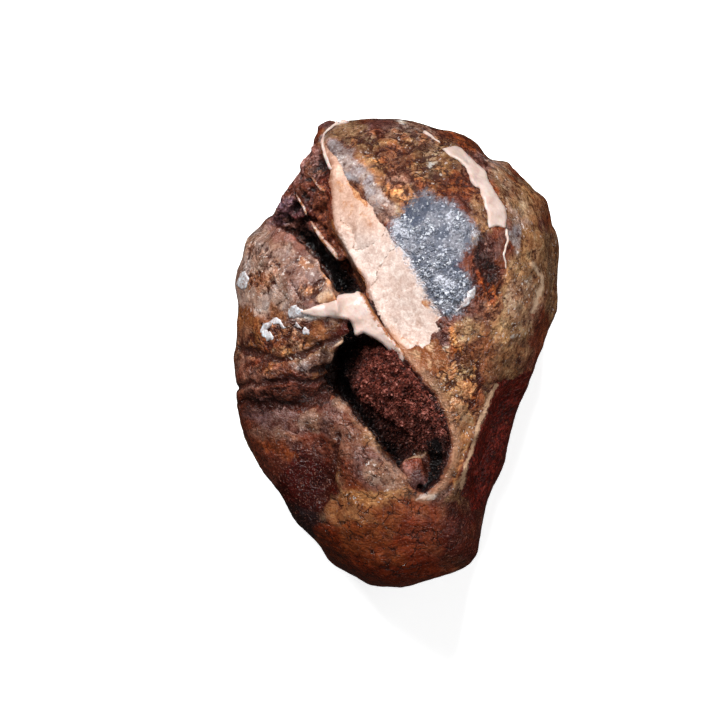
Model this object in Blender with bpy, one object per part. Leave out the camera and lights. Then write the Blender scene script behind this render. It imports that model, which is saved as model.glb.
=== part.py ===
"""A baryte nodule the size of a hen's egg, lying on its back with its broken face up.

Two pieces: nodule, the one natural lump with its cream layer, gash, ledges and fracture
faces, and cavity_crust, the fine druse that lines the hollow in that face.

Frame: +Z up. X runs across the nodule and Y along it, with +Y at the domed end. The origin
is below the middle of its bounding box, on the surface that it lies on. All the numbers
below are millimetres, and to_object() turns them into Blender's metres.
"""

import math

import bmesh
import bpy
import numpy as np
from mathutils import Vector, noise

MM = 0.001

# Driving dimensions
EQUATOR = 14.5  # height of the widest outline above the surface it lies on
FRONT = 16.0  # height of the plain front above the equator
SINK = 1.4  # how far the rounded back would reach below the surface: cut off as the flat spot
SHELL_DETAIL = 7  # subdivisions of the icosphere that becomes the lump
KEPT_FACES = 0.092  # share of the lump's faces that Decimate leaves
PLAN_POWER = 0.84  # under 1 makes the lump fuller than an ellipsoid in plan
FRONT_POWER = 0.74  # and in height, on the broken face
BACK_POWER = 0.66  # and on the back
UNEVEN_SPAN = 7.7  # length over which the rind's broad unevenness rises and falls
UNEVEN_FRONT, UNEVEN_FLANK = 0.3, 1.0  # and its height on the front, and more on the flanks
BUMP_SPAN, BUMP_HEIGHT = 2.4, 0.22  # the same for its finer bumps
LUMP_SIZE, LUMP_HEIGHT = 6.5, 0.75  # the rind's rounded lumps: size across, and height
LUMP_VALLEY = 0.6  # how wide the valleys between lumps are, as a share of a lump
HOLLOW_TOP = 46.0  # the hollow's cutter starts above every point of the lump

# Widest outline, from the domed end's left shoulder round by the right
OUTLINE = [
    (-6.9, 33.0), (-0.2, 32.9), (5.8, 31.4), (11.7, 29.2), (14.7, 26.5), (17.9, 25.0),
    (20.2, 21.6), (22.4, 18.4), (22.9, 12.9), (22.6, 7.5), (20.4, -1.1), (17.4, -7.8),
    (14.8, -15.4), (13.0, -22.4), (11.3, -27.9), (7.4, -31.3), (0.1, -33.0), (-4.0, -32.2),
    (-8.8, -29.5), (-12.9, -25.3), (-17.9, -18.6), (-21.3, -11.3), (-22.9, -5.0),
    (-22.4, 0.6), (-22.3, 6.1), (-22.3, 11.0), (-21.2, 14.7), (-18.7, 18.2), (-15.6, 21.7),
    (-14.9, 24.3), (-13.6, 25.6), (-12.3, 28.3), (-10.2, 31.7),
]

# Swellings of the front: centre, reach in X and Y, height
SWELLINGS = {
    "dome": ((6.0, 14.5), (13.0, 15.0), 6.0),
    "left lobe": ((-14.5, 4.5), (6.5, 8.5), 2.6),
    "lower lobe": ((-0.5, -19.5), (9.0, 8.0), 2.0),
    "right strip": ((8.0, -8.0), (5.5, 9.0), 1.6),
    "lower left": ((-14.0, -12.5), (5.0, 5.0), 1.0),
}

# Terraces: the front falls by a share of its height on the right of a path, over a width.
# The last number is the share of the path over which each end of the step fades out
TERRACES = {
    "rear ledge": (
        [(16.0, -3.0), (18.2, 1.4), (19.6, 5.0), (20.4, 8.0), (20.7, 11.5), (20.6, 15.0),
         (19.9, 18.6), (18.2, 22.2), (14.8, 26.4)],
        0.60, 1.1, 0.22,
    ),
    "red face": (
        [(6.6, -24.0), (8.3, -19.6), (9.3, -16.6), (10.9, -11.6), (13.5, -5.0), (16.2, 0.4)],
        0.56, 3.0, 0.24,
    ),
    "left lobe step": (
        [(-30.0, 4.0), (-23.0, 9.6), (-19.5, 10.6), (-16.6, 9.4), (-14.8, 6.6), (-12.6, 5.0),
         (-4.0, 4.4)],
        0.09, 0.9, 0.05,
    ),
    "lower left": (
        [(-7.4, -9.4), (-8.2, -12.4), (-8.8, -15.4), (-9.0, -18.6), (-10.4, -22.0),
         (-12.8, -26.0)],
        0.24, 1.8, 0.20,
    ),
}

# Grooves and ridges: path, half width, height (below 0 is a groove)
STROKES = {
    "groove under the left lobe": (
        [(-23.5, -7.4), (-19.7, -7.9), (-16.2, -7.9), (-13.0, -6.9), (-10.9, -5.7),
         (-9.2, -4.4), (-7.0, -2.4)], 1.3, -4.2,
    ),
    "crease of the left lobe": (
        [(-20.5, 2.4), (-16.4, 2.2), (-12.8, 3.4), (-9.6, 4.2)], 1.2, -0.6,
    ),
    "fold of the left lobe": ([(-17.0, -3.6), (-13.0, -1.9), (-9.6, 0.2)], 1.0, -0.8),
    "lower crease": ([(-11.0, -22.5), (-6.0, -20.4), (0.0, -20.0), (6.0, -21.6)], 1.6, -0.6),
    "tan shoulder": ([(-7.0, -10.4), (-5.4, -14.0), (-2.0, -17.0)], 2.6, 1.2),
    "lip of the hollow": ([(3.6, -2.6), (6.8, -7.2), (8.4, -12.0), (7.0, -17.6)], 1.3, 0.7),
    "rind fold": ([(17.0, 21.0), (13.5, 23.5), (8.0, 27.6), (1.0, 30.0)], 2.2, 0.7),
    "dark pit": ([(10.6, 14.6), (11.6, 12.2), (12.4, 9.8), (12.6, 7.0)], 1.6, -1.3),
    "chin fold": ([(-6.0, -27.6), (0.0, -29.2), (6.0, -28.0)], 2.0, 0.5),
}

# Fracture faces: centre, reach, height above the equator there, rise per mm along X and Y
FRACTURES = {
    "upper grey face": ((-15.6, 11.6), 8.5, 15.0, (0.34, -0.52)),
    "lower grey face": ((-12.4, 6.4), 6.0, 17.4, (0.16, -0.16)),
    "lower lobe face": ((-1.0, -20.4), 9.0, 16.6, (0.03, 0.30)),
    "thumb face": ((-15.6, -15.0), 8.0, 12.4, (0.36, 0.42)),
    "top face": ((-1.0, 27.0), 9.0, 13.6, (0.08, -0.62)),
}
FRACTURE_BLEND = 9.0  # how far above the lump a face has risen at one and a half times its reach

# Bevels: the front slopes down on the right of a path. Then come the width over which it
# does, its slope as a tangent, the reach past which it is level with its surroundings
# again, and the share of the path over which each end fades out
BEVELS = {
    "cream layer": (
        [(-8.7, 31.2), (-8.4, 26.3), (-6.9, 23.8), (-3.5, 19.6), (-1.3, 17.2), (0.8, 14.0),
         (3.0, 10.3), (4.2, 7.9), (5.6, 6.0), (6.6, 3.8), (7.4, 1.0), (8.2, -2.4)],
        6.2, 0.46, 12.4, 0.3,
    ),
    "dome rim": (
        [(12.6, -2.0), (13.6, 4.0), (14.4, 9.0), (14.9, 13.0), (15.3, 17.0), (15.0, 20.4),
         (12.8, 24.0), (9.6, 27.0), (5.0, 29.4)],
        6.0, 0.42, 30.0, 0.22,
    ),
}

# The hollow, as stations from the domed end to its closed end: right rim, left rim, depth
# below the right rim, and how the wall falls (1 slants evenly, below 1 drops at the rim)
HOLLOW = [
    ((-9.8, 34.8), (-17.2, 31.0), 8.0, 0.80), ((-10.3, 29.3), (-18.6, 26.6), 9.0, 0.80),
    ((-8.9, 25.0), (-19.6, 21.8), 10.5, 0.85), ((-9.1, 20.7), (-16.4, 18.2), 12.0, 0.80),
    ((-8.8, 17.6), (-13.7, 16.5), 12.5, 0.55), ((-7.0, 14.3), (-11.5, 14.2), 13.0, 0.40),
    ((-5.3, 11.1), (-9.6, 11.4), 13.0, 0.30), ((-3.9, 8.4), (-8.2, 8.6), 13.0, 0.34),
    ((-2.3, 5.2), (-7.2, 5.6), 12.5, 0.45), ((-1.2, 2.6), (-7.4, 2.6), 12.5, 0.60),
    ((0.8, -0.6), (-8.1, 0.0), 12.5, 0.80), ((3.0, -3.1), (-8.6, -2.4), 12.5, 0.95),
    ((4.9, -5.5), (-8.2, -4.4), 12.5, 1.05), ((6.3, -8.3), (-6.4, -6.6), 12.0, 1.10),
    ((7.2, -11.5), (-4.2, -9.3), 11.5, 1.05), ((6.9, -14.5), (-2.2, -12.0), 11.0, 0.90),
    ((5.8, -17.0), (0.0, -14.8), 9.5, 0.70), ((3.6, -18.9), (1.9, -18.2), 6.0, 0.60),
]
UNDERCUT = 2.4  # how far the hollow runs in below its left rim
STATIONS_PER_SPAN = 3
WALL_POINTS = 9
WALL_ROUGHNESS = 0.45
WALL_GRAIN = 3.6  # length over which that roughness rises and falls

# The crust on the hollow's slanting wall
CRUST_GAP = 0.7
CRUST_THICK = 1.0
CRUST_RELIEF = 0.35
CRUST_STATIONS = (0.57, 0.86)  # share of the hollow's length that it lines
CRUST_WIDTH = (0.14, 0.91)  # share of the wall's width that it lines
CRUST_SLANT = (0.73, 0.50)  # where its end starts to slant past the stub, and by what share

# The cream sheet that bridges the hollow, and the thin blades that stand in it
BRIDGE = [
    (-11.4, 5.4), (-9.4, 6.9), (-8.0, 8.2), (-5.3, 8.3), (-3.6, 8.0), (-1.6, 5.6), (0.4, 3.2),
    (2.4, 0.6), (1.2, -0.6), (-0.4, 0.6), (-2.3, 1.8), (-4.7, 2.6), (-5.9, 2.5),
    (-6.9, 4.5), (-9.2, 4.7),
]
BRIDGE_DROP = 1.3
BRIDGE_THICK = 1.7
BLADES = {
    "long blade": ([(-12.2, 18.0), (-10.9, 16.7), (-9.5, 15.1), (-7.6, 12.8)], 1.0, 3.2, 9.5),
    "short blade": ([(-13.6, 22.0), (-12.9, 20.7), (-12.2, 19.3)], 0.9, 3.2, 8.0),
}

# A stub of pink crystal at the hollow's closed end
STUB_CENTRE = (2.2, -16.0)
STUB_SIZE = (3.5, 4.6, 9.0)
STUB_DROP = 2.6
STUB_TURN = math.radians(12)

LUMP_COLOUR = (0.15, 0.06, 0.028, 1.0)
CRUST_COLOUR = (0.07, 0.022, 0.016, 1.0)


def smoothstep(low, high, value):
    share = np.clip((value - low) / (high - low), 0.0, 1.0)
    return share * share * (3.0 - 2.0 * share)


def catmull_rom(points, per_span, closed=False):
    """A smooth curve through the points, as rows of numbers."""
    points = np.array(points, float)
    count = len(points)
    spans = count if closed else count - 1
    curve = []
    for span in range(spans):
        if closed:
            a, b, c, d = (points[(span + step) % count] for step in (-1, 0, 1, 2))
        else:
            a, b = points[max(span - 1, 0)], points[span]
            c, d = points[span + 1], points[min(span + 2, count - 1)]
        for step in range(per_span):
            t = step / per_span
            curve.append(
                0.5 * (2 * b + (c - a) * t + (2 * a - 5 * b + 4 * c - d) * t**2
                       + (3 * b - a - 3 * c + d) * t**3)
            )
    if not closed:
        curve.append(points[-1])
    return np.array(curve)


def side_of(path, x, y):
    """Distance from a path, above 0 on its right, and how far along it the nearest point is."""
    best = np.full(x.shape, np.inf)
    side = np.ones(x.shape)
    along = np.zeros(x.shape)
    spans = len(path) - 1
    for index in range(spans):
        (x0, y0), (x1, y1) = path[index], path[index + 1]
        dx, dy = x1 - x0, y1 - y0
        share = np.clip(((x - x0) * dx + (y - y0) * dy) / (dx * dx + dy * dy), 0.0, 1.0)
        away = np.hypot(x - x0 - share * dx, y - y0 - share * dy)
        nearer = away < best
        best = np.where(nearer, away, best)
        side = np.where(nearer, np.sign((x - x0) * dy - (y - y0) * dx), side)
        along = np.where(nearer, (index + share) / spans, along)
    return best * side, along


def fade_at_ends(along, share=0.15):
    return smoothstep(0.0, share, along) * smoothstep(0.0, share, 1.0 - along)


def outline_reach(x, y):
    """How far out a point lies: 0 at the middle and 1 on the widest outline."""
    ring = catmull_rom(OUTLINE, 8, closed=True)
    angles = np.arctan2(ring[:, 1], ring[:, 0])
    order = np.argsort(angles)
    radius = np.hypot(ring[:, 0], ring[:, 1])[order]
    edge = np.interp(np.arctan2(y, x), angles[order], radius, period=math.tau)
    return np.hypot(x, y) / edge, edge


def lower_to(height, face, softness=0.7):
    """The lower of two heights, with the edge between them rounded a little."""
    gap = np.clip(0.5 + 0.5 * (height - face) / softness, 0.0, 1.0)
    return height * (1 - gap) + face * gap - softness * gap * (1 - gap)


def front_height(x, y):
    """Height of the front above the surface that the nodule lies on, before the hollow."""
    rise = np.full(x.shape, FRONT)
    for (cx, cy), (rx, ry), height in SWELLINGS.values():
        rise += height * np.exp(-(((x - cx) / rx) ** 2) - ((y - cy) / ry) ** 2)
    for path, share, width, fade in TERRACES.values():
        away, along = side_of(catmull_rom(path, 3), x, y)
        rise *= 1.0 - share * smoothstep(-0.3, width, away) * fade_at_ends(along, fade)
    for path, half_width, height in STROKES.values():
        away, along = side_of(catmull_rom(path, 3), x, y)
        rise += height * np.exp(-((away / half_width) ** 2)) * fade_at_ends(along)
    for path, width, slope, reach, fade in BEVELS.values():
        away, along = side_of(path, x, y)
        sloping = np.clip(away, 0.0, width) * smoothstep(-reach, -width, -away)
        rise -= slope * sloping * fade_at_ends(along, fade)
    reach, _ = outline_reach(x, y)
    rim = np.sqrt(np.clip(1.0 - np.minimum(reach, 1.0) ** (2 / PLAN_POWER), 0.0, 1.0))
    height = rise * rim**FRONT_POWER
    for (cx, cy), span, level, (rise_x, rise_y) in FRACTURES.values():
        beyond = np.maximum(np.hypot(x - cx, y - cy) / span - 0.5, 0.0)
        face = level + rise_x * (x - cx) + rise_y * (y - cy) + FRACTURE_BLEND * beyond**2
        height = lower_to(height, face)
    return EQUATOR + height


def to_object(name, mesh, colour=None, roughness=0.4):
    """A linked object for a mesh in millimetres, with its own material unless it is a helper."""
    for vert in mesh.verts:
        vert.co *= MM
    bmesh.ops.recalc_face_normals(mesh, faces=mesh.faces)
    data = bpy.data.meshes.new(name)
    mesh.to_mesh(data)
    mesh.free()
    item = bpy.data.objects.new(name, data)
    bpy.context.scene.collection.objects.link(item)
    if colour is None:
        item.hide_render = True
        item.display_type = "WIRE"
    else:
        material = bpy.data.materials.new(name)
        material.use_nodes = True
        shader = material.node_tree.nodes["Principled BSDF"]
        shader.inputs["Base Color"].default_value = colour
        shader.inputs["Roughness"].default_value = roughness
        data.materials.append(material)
        data.shade_smooth()
        data.set_sharp_from_angle(angle=math.radians(32))
    return item


def make_lump():
    """The nodule before its hollow: an icosphere drawn out to the outline and the heights."""
    mesh = bmesh.new()
    bmesh.ops.create_icosphere(mesh, subdivisions=SHELL_DETAIL, radius=1.0)
    ball = np.array([vert.co for vert in mesh.verts])
    wide = np.hypot(ball[:, 0], ball[:, 1])
    _, edge = outline_reach(ball[:, 0], ball[:, 1])
    spread = edge * wide**PLAN_POWER / np.maximum(wide, 1e-6)
    x, y = ball[:, 0] * spread, ball[:, 1] * spread
    back = EQUATOR - (EQUATOR + SINK) * np.abs(ball[:, 2]) ** BACK_POWER
    z = np.where(ball[:, 2] > 0, front_height(x, y), back)
    for vert, place in zip(mesh.verts, np.column_stack([x, y, z])):
        vert.co = place
    mesh.normal_update()
    for vert in mesh.verts:
        broad = noise.fractal(vert.co / UNEVEN_SPAN, 1.0, 2.0, 2)
        fine = noise.fractal(vert.co / BUMP_SPAN + Vector((7, 3, 1)), 1.0, 2.0, 2)
        near, second = noise.voronoi((vert.co + Vector((broad, fine, broad))) / LUMP_SIZE)[0][:2]
        lump = float(smoothstep(0.0, LUMP_VALLEY, second - near)) - 0.8
        flank = 1.0 - max(vert.normal.z, 0.0)
        out = broad * (UNEVEN_FRONT + UNEVEN_FLANK * flank)
        out += BUMP_HEIGHT * fine + LUMP_HEIGHT * lump * (0.3 + flank)
        vert.co += vert.normal * out
    places = np.array([vert.co for vert in mesh.verts])
    middle = (places.min(axis=0) + places.max(axis=0)) / 2
    bmesh.ops.translate(mesh, verts=mesh.verts, vec=(-middle[0], -middle[1], 0.0))
    return to_object("nodule", mesh, LUMP_COLOUR)


def hollow_stations():
    """The hollow's rims, depth and wall slope at every station, as rows."""
    rows = [(*right, *left, depth, power) for right, left, depth, power in HOLLOW]
    return catmull_rom(rows, STATIONS_PER_SPAN)


def wall_point(row, share, inset=0.0):
    """A point of the hollow's slanting wall: share runs from 0 at the deep left to 1 at the rim."""
    right, left, depth, power = row[0:2], row[2:4], row[4], row[5]
    rim = float(front_height(np.array([right[0]]), np.array([right[1]]))[0])
    place = left + (right - left) * share
    height = rim - depth * (1.0 - share) ** power
    rough = noise.noise(Vector((place[0] / WALL_GRAIN, place[1] / WALL_GRAIN, 4.0)))
    height += WALL_ROUGHNESS * rough * min(1.0, 4.0 * (1.0 - share))
    return Vector((place[0], place[1], height + inset))


def loft(mesh, loops):
    """Skins closed loops of equal length into a solid, with a face at each end."""
    rings = [[mesh.verts.new(point) for point in loop] for loop in loops]
    count = len(rings[0])
    for first, second in zip(rings, rings[1:]):
        for index in range(count):
            after = (index + 1) % count
            mesh.faces.new((first[index], first[after], second[after], second[index]))
    mesh.faces.new(rings[0][::-1])
    mesh.faces.new(rings[-1])


def make_hollow_cutter():
    mesh = bmesh.new()
    loops = []
    for row in hollow_stations():
        right, left = row[0:2], row[2:4]
        across = (right - left) / np.linalg.norm(right - left)
        wall = [wall_point(row, share) for share in np.linspace(1.0, 0.06, WALL_POINTS)]
        deep = wall[-1].z - 0.8
        lip = max(float(front_height(np.array([left[0]]), np.array([left[1]]))[0]), deep + 4.0)
        under = left - across * UNDERCUT
        loops.append([
            Vector((*right, HOLLOW_TOP)), *wall,
            Vector((*(left - across * 0.6), deep)),
            Vector((*under, deep + 0.35 * (lip - deep))),
            Vector((*(left - across * 0.7), lip - 1.6)),
            Vector((*left, HOLLOW_TOP)),
        ])
    loft(mesh, loops)
    return to_object("hollow_cutter", mesh)


def make_bridge():
    """The cream sheet across the hollow: its outline follows the lump's surface, a little lower."""
    mesh = bmesh.new()
    ring = catmull_rom(BRIDGE, 2, closed=True)
    tops = front_height(ring[:, 0], ring[:, 1]) - BRIDGE_DROP
    outline = [mesh.verts.new((x, y, z)) for (x, y), z in zip(ring, tops)]
    sheet = bmesh.ops.triangulate(mesh, faces=[mesh.faces.new(outline)])["faces"]
    under = bmesh.ops.extrude_face_region(mesh, geom=sheet, use_keep_orig=True)["geom"]
    for vert in under:
        if isinstance(vert, bmesh.types.BMVert):
            vert.co.z -= BRIDGE_THICK
    return to_object("bridge_sheet", mesh)


def make_blade(name, path, thickness, drop, height):
    """A thin standing sheet along a path, thicker at its foot."""
    mesh = bmesh.new()
    line = catmull_rom(path, 3)
    ahead = np.gradient(line, axis=0)
    across = np.column_stack([ahead[:, 1], -ahead[:, 0]])
    across /= np.linalg.norm(across, axis=1)[:, None]
    loops = []
    for (x, y), (nx, ny) in zip(line, across):
        top = float(front_height(np.array([x]), np.array([y]))[0]) - drop
        half, foot = thickness / 2, thickness
        loops.append([
            Vector((x - nx * half * 0.6, y - ny * half * 0.6, top)),
            Vector((x + nx * half * 0.6, y + ny * half * 0.6, top)),
            Vector((x + nx * foot, y + ny * foot, top - height)),
            Vector((x - nx * foot, y - ny * foot, top - height)),
        ])
    loft(mesh, loops)
    return to_object(name.replace(" ", "_"), mesh)


def make_stub():
    mesh = bmesh.new()
    bmesh.ops.create_cube(mesh, size=1.0)
    x, y = STUB_CENTRE
    top = float(front_height(np.array([x]), np.array([y]))[0]) - STUB_DROP
    turn = (math.cos(STUB_TURN), math.sin(STUB_TURN))
    for vert in mesh.verts:
        px, py, pz = (vert.co[axis] * STUB_SIZE[axis] for axis in range(3))
        lean = 1.0 - 0.18 * (vert.co.z + 0.5)
        px, py = px * lean, py * lean
        height = top + pz - STUB_SIZE[2] / 2 + 0.16 * px
        vert.co = (x + px * turn[0] - py * turn[1], y + px * turn[1] + py * turn[0], height)
    bmesh.ops.bevel(mesh, geom=mesh.edges[:], offset=0.45, segments=1, affect="EDGES")
    return to_object("crystal_stub", mesh)


def make_floor_cutter():
    """Everything below the surface that the nodule lies on: what it cuts is the flat spot."""
    mesh = bmesh.new()
    bmesh.ops.create_cube(mesh, size=100.0)
    for vert in mesh.verts:
        vert.co.z -= 50.0
    return to_object("floor_cutter", mesh)


def make_crust():
    """The druse on the hollow's slanting wall, a thin skin just clear of the rock behind it."""
    mesh = bmesh.new()
    rows = hollow_stations()
    first, last = (int(round(share * (len(rows) - 1))) for share in CRUST_STATIONS)
    loops = []
    start, slant = CRUST_SLANT
    for index in range(first, last + 1):
        row = rows[index]
        past = float(smoothstep(start, CRUST_STATIONS[1], index / (len(rows) - 1)))
        shares = np.linspace(CRUST_WIDTH[0] + slant * past, CRUST_WIDTH[1], WALL_POINTS)
        under = [wall_point(row, share, CRUST_GAP) for share in shares]
        over = [wall_point(row, share, CRUST_GAP + CRUST_THICK) for share in shares]
        for point in over:
            point.z += CRUST_RELIEF * noise.noise(point * 0.9)
        loops.append(under + over[::-1])
    loft(mesh, loops)
    bmesh.ops.triangulate(mesh, faces=mesh.faces)
    return to_object("cavity_crust", mesh, CRUST_COLOUR, 0.8)


def add_boolean(item, operation, other):
    modifier = item.modifiers.new(other.name, "BOOLEAN")
    modifier.operation = operation
    modifier.solver = "EXACT"
    modifier.object = other


def main():
    for item in list(bpy.data.objects):
        bpy.data.objects.remove(item)
    nodule = make_lump()
    thinned = nodule.modifiers.new("fewer faces", "DECIMATE")
    thinned.ratio = KEPT_FACES
    add_boolean(nodule, "DIFFERENCE", make_hollow_cutter())
    add_boolean(nodule, "UNION", make_bridge())
    for name, (path, thickness, drop, height) in BLADES.items():
        add_boolean(nodule, "UNION", make_blade(name, path, thickness, drop, height))
    add_boolean(nodule, "UNION", make_stub())
    add_boolean(nodule, "DIFFERENCE", make_floor_cutter())
    make_crust()


main()
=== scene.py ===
# %% [markdown]
# # Dressing a baryte nodule
#
# The real object is a broken baryte nodule, the size of a hen's egg: a waxy brown rind,
# a flat cream layer, a patch of grey quartz, and a hollow lined with dark velvety crystals.
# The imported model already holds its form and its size. This script adds what the eye reads
# from close by: a finer skin, the borders of each mineral, cracks, grains and gloss.
#
# The work goes in this order: load the frame, place the camera, make a fine skin, mark the
# minerals on it, roughen it, build its material, lay the thin sheets, grow the grains, and
# last the floor and the light.

import math

import bmesh
import bpy
import numpy as np
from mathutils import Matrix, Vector, noise
from mathutils.bvhtree import BVHTree
from mathutils.geometry import delaunay_2d_cdt


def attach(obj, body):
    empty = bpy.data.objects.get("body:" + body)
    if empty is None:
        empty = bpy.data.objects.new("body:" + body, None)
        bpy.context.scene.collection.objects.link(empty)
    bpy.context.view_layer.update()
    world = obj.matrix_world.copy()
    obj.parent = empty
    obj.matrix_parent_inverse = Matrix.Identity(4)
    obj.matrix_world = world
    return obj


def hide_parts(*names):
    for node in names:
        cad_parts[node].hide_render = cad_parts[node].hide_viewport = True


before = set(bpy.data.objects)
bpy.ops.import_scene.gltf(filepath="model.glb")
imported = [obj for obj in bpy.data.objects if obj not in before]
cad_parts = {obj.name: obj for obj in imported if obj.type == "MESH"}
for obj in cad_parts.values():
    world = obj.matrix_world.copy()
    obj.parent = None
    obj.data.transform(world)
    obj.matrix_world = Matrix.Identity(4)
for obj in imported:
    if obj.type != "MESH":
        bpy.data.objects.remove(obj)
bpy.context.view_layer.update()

MM = 0.001
EQUATOR = 14.5  # height of the widest outline above the floor, mm
print("nodes:", sorted(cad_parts))

# %% [markdown]
# ## The camera comes first
#
# The camera looks straight down on the broken face. Every border drawn below was laid out
# in the plane of the widest outline, as this camera sees it. A point that stands higher
# looks larger, so `seen_plan` moves each point to where it appears in that plane. A longer
# lens further away would make the correction smaller, and the picture flatter.

# %% Camera looking down
LENS = 180.0  # mm
SENSOR = 36.0  # mm
FIELD = 100.0  # width of the view in the plane of the widest outline, mm
CAMERA_X, CAMERA_Y = -5.07, -0.83  # where the camera's axis meets that plane, mm
CAMERA_RISE = FIELD * LENS / SENSOR  # mm

camera_data = bpy.data.cameras.new("camera")
camera_data.lens = LENS
camera_data.sensor_width = SENSOR
camera_data.clip_start = 0.01
camera_data.clip_end = 10.0
camera = bpy.data.objects.new("camera", camera_data)
camera.location = Vector((CAMERA_X, CAMERA_Y, EQUATOR + CAMERA_RISE)) * MM
bpy.context.scene.collection.objects.link(camera)
bpy.context.scene.camera = camera


def seen_plan(points):
    """Where points, in mm, appear in the plane of the widest outline."""
    nearer = CAMERA_RISE / (CAMERA_RISE - (points[:, 2] - EQUATOR))
    axis = np.array([CAMERA_X, CAMERA_Y])
    return axis + (points[:, :2] - axis) * nearer[:, None]


print("camera", round(CAMERA_RISE, 1), "mm above the widest outline")

# %% [markdown]
# ## A fine, even skin
#
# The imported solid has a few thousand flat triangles. A rind needs bumps of half a
# millimetre, so it needs vertices under 0.4 mm apart. Subdividing would keep the long thin
# triangles of the Boolean cuts. A voxel remesh makes one even closed skin instead, which
# can then be smoothed and pushed about like clay. It works on a copy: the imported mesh
# itself is never changed. A finer skin would pass 200,000 triangles, so anything smaller
# is left to the material.

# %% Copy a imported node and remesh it
SKIN_VOXEL = 0.364 * MM


def link(name, mesh):
    item = bpy.data.objects.new(name, mesh)
    bpy.context.scene.collection.objects.link(item)
    return item


def baked(item):
    """The item's evaluated mesh, with its modifiers removed."""
    graph = bpy.context.evaluated_depsgraph_get()
    mesh = bpy.data.meshes.new_from_object(item.evaluated_get(graph))
    item.modifiers.clear()
    item.data = mesh
    return item


def even_skin(name, node_name, voxel):
    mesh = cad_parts[node_name].data.copy()
    work = bmesh.new()
    work.from_mesh(mesh)
    bmesh.ops.remove_doubles(work, verts=work.verts, dist=1e-6)
    work.to_mesh(mesh)
    work.free()
    mesh.materials.clear()
    item = link(name, mesh)
    remesh = item.modifiers.new("even skin", "REMESH")
    remesh.mode = "VOXEL"
    remesh.voxel_size = voxel
    remesh.use_smooth_shade = True
    baked(item)
    print(name, len(item.data.vertices), "vertices")
    return item


nodule = even_skin("nodule_rind", "nodule", SKIN_VOXEL)

# %% [markdown]
# Sculpting in code is arithmetic on one big array of points. These helpers read the points
# in millimetres, smooth them along the mesh's edges, and write them back.

# %% Read, smooth and write points


def read_points(item):
    flat = np.empty(len(item.data.vertices) * 3, np.float32)
    item.data.vertices.foreach_get("co", flat)
    return flat.reshape(-1, 3).astype(float) / MM


def write_points(item, points):
    item.data.vertices.foreach_set("co", (points * MM).astype(np.float32).ravel())
    item.data.update()


def read_normals(item):
    flat = np.empty(len(item.data.vertices) * 3, np.float32)
    item.data.vertex_normals.foreach_get("vector", flat)
    return flat.reshape(-1, 3).astype(float)


def write_mark(item, name, values):
    """Keep a number for each point, which materials and the grain tree can read."""
    layer = item.data.attributes.new(name, "FLOAT", "POINT")
    layer.data.foreach_set("value", values.astype(np.float32))


def edge_ends(item):
    flat = np.empty(len(item.data.edges) * 2, np.int32)
    item.data.edges.foreach_get("vertices", flat)
    return flat.reshape(-1, 2)


def smoothed(values, edges, rounds):
    """Each value drawn halfway to the mean of its neighbours, a number of times."""
    values = values.copy()
    count = len(values)
    degree = np.bincount(edges.ravel(), minlength=count)[:, None]
    for _ in range(rounds):
        total = np.zeros_like(values)
        for column in range(values.shape[1]):
            total[:, column] = np.bincount(edges[:, 0], values[edges[:, 1], column], count)
            total[:, column] += np.bincount(edges[:, 1], values[edges[:, 0], column], count)
        values += 0.5 * (total / degree - values)
    return values


FACET_ROUNDS = 4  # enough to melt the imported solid's facets, and to keep its rims

edges = edge_ends(nodule)
points = smoothed(read_points(nodule), edges, FACET_ROUNDS)
write_points(nodule, points)

# %% [markdown]
# ## Noise fields and distances to outlines
#
# Rock is never even, so nearly every step below reads a noise field: a number for each
# point that changes smoothly over a span given in millimetres. The borders of the minerals
# are drawn outlines. `inside` gives each point's distance to an outline, above 0 inside it.
# A distance is better than a yes or no, because a material can add noise to it and still
# cut a crisp border, finer than the mesh.

# %% Noise fields


def field(points, span, octaves=3, offset=0.0):
    """Fractal noise of about -1 to 1, whose broadest waves are span mm long."""
    shift = Vector((offset, offset * 1.7, -offset))
    return np.array([
        noise.fractal(Vector(point) / span + shift, 1.0, 2.0, octaves) for point in points
    ])


def cells(points, span, offset=0.0):
    """Distance to the nearest of scattered cell centres and to the next, in cell sizes."""
    shift = Vector((offset, -offset, offset * 0.6))
    found = [noise.voronoi(Vector(point) / span + shift)[0][:2] for point in points]
    return np.array(found).T


# %% Distances in the plan


def smoothstep(low, high, value):
    share = np.clip((value - low) / (high - low), 0.0, 1.0)
    return share * share * (3.0 - 2.0 * share)


def to_path(plan, path, closed=False):
    """Distance from each plan point to a path."""
    path = np.array(path + path[:1] if closed else path, float)
    best = np.full(len(plan), np.inf)
    for start, end in zip(path, path[1:]):
        run = end - start
        share = np.clip((plan - start) @ run / (run @ run), 0.0, 1.0)
        best = np.minimum(best, np.linalg.norm(plan - start - share[:, None] * run, axis=1))
    return best


def inside(plan, outline):
    """Distance to a closed outline, above 0 inside it."""
    x, y = plan.T
    within = np.zeros(len(plan), bool)
    corners = outline + outline[:1]
    for (x0, y0), (x1, y1) in zip(corners, corners[1:]):
        if y0 != y1:
            crosses = (y0 > y) != (y1 > y)
            within ^= crosses & (x < (x1 - x0) * (y - y0) / (y1 - y0) + x0)
    return to_path(plan, outline, closed=True) * np.where(within, 1.0, -1.0)


# %% [markdown]
# ## The outlines of the minerals
#
# Each outline is a short list of corners in millimetres, with +Y at the domed end. They
# follow the minerals' borders: the cream layer is a long band, the quartz a patch beside
# it, the sliver a thin sheet on the dome's shoulder, and the bridge a sheet over the
# hollow. The paths are lines that the eye catches: cracks, edges and seams.

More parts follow.
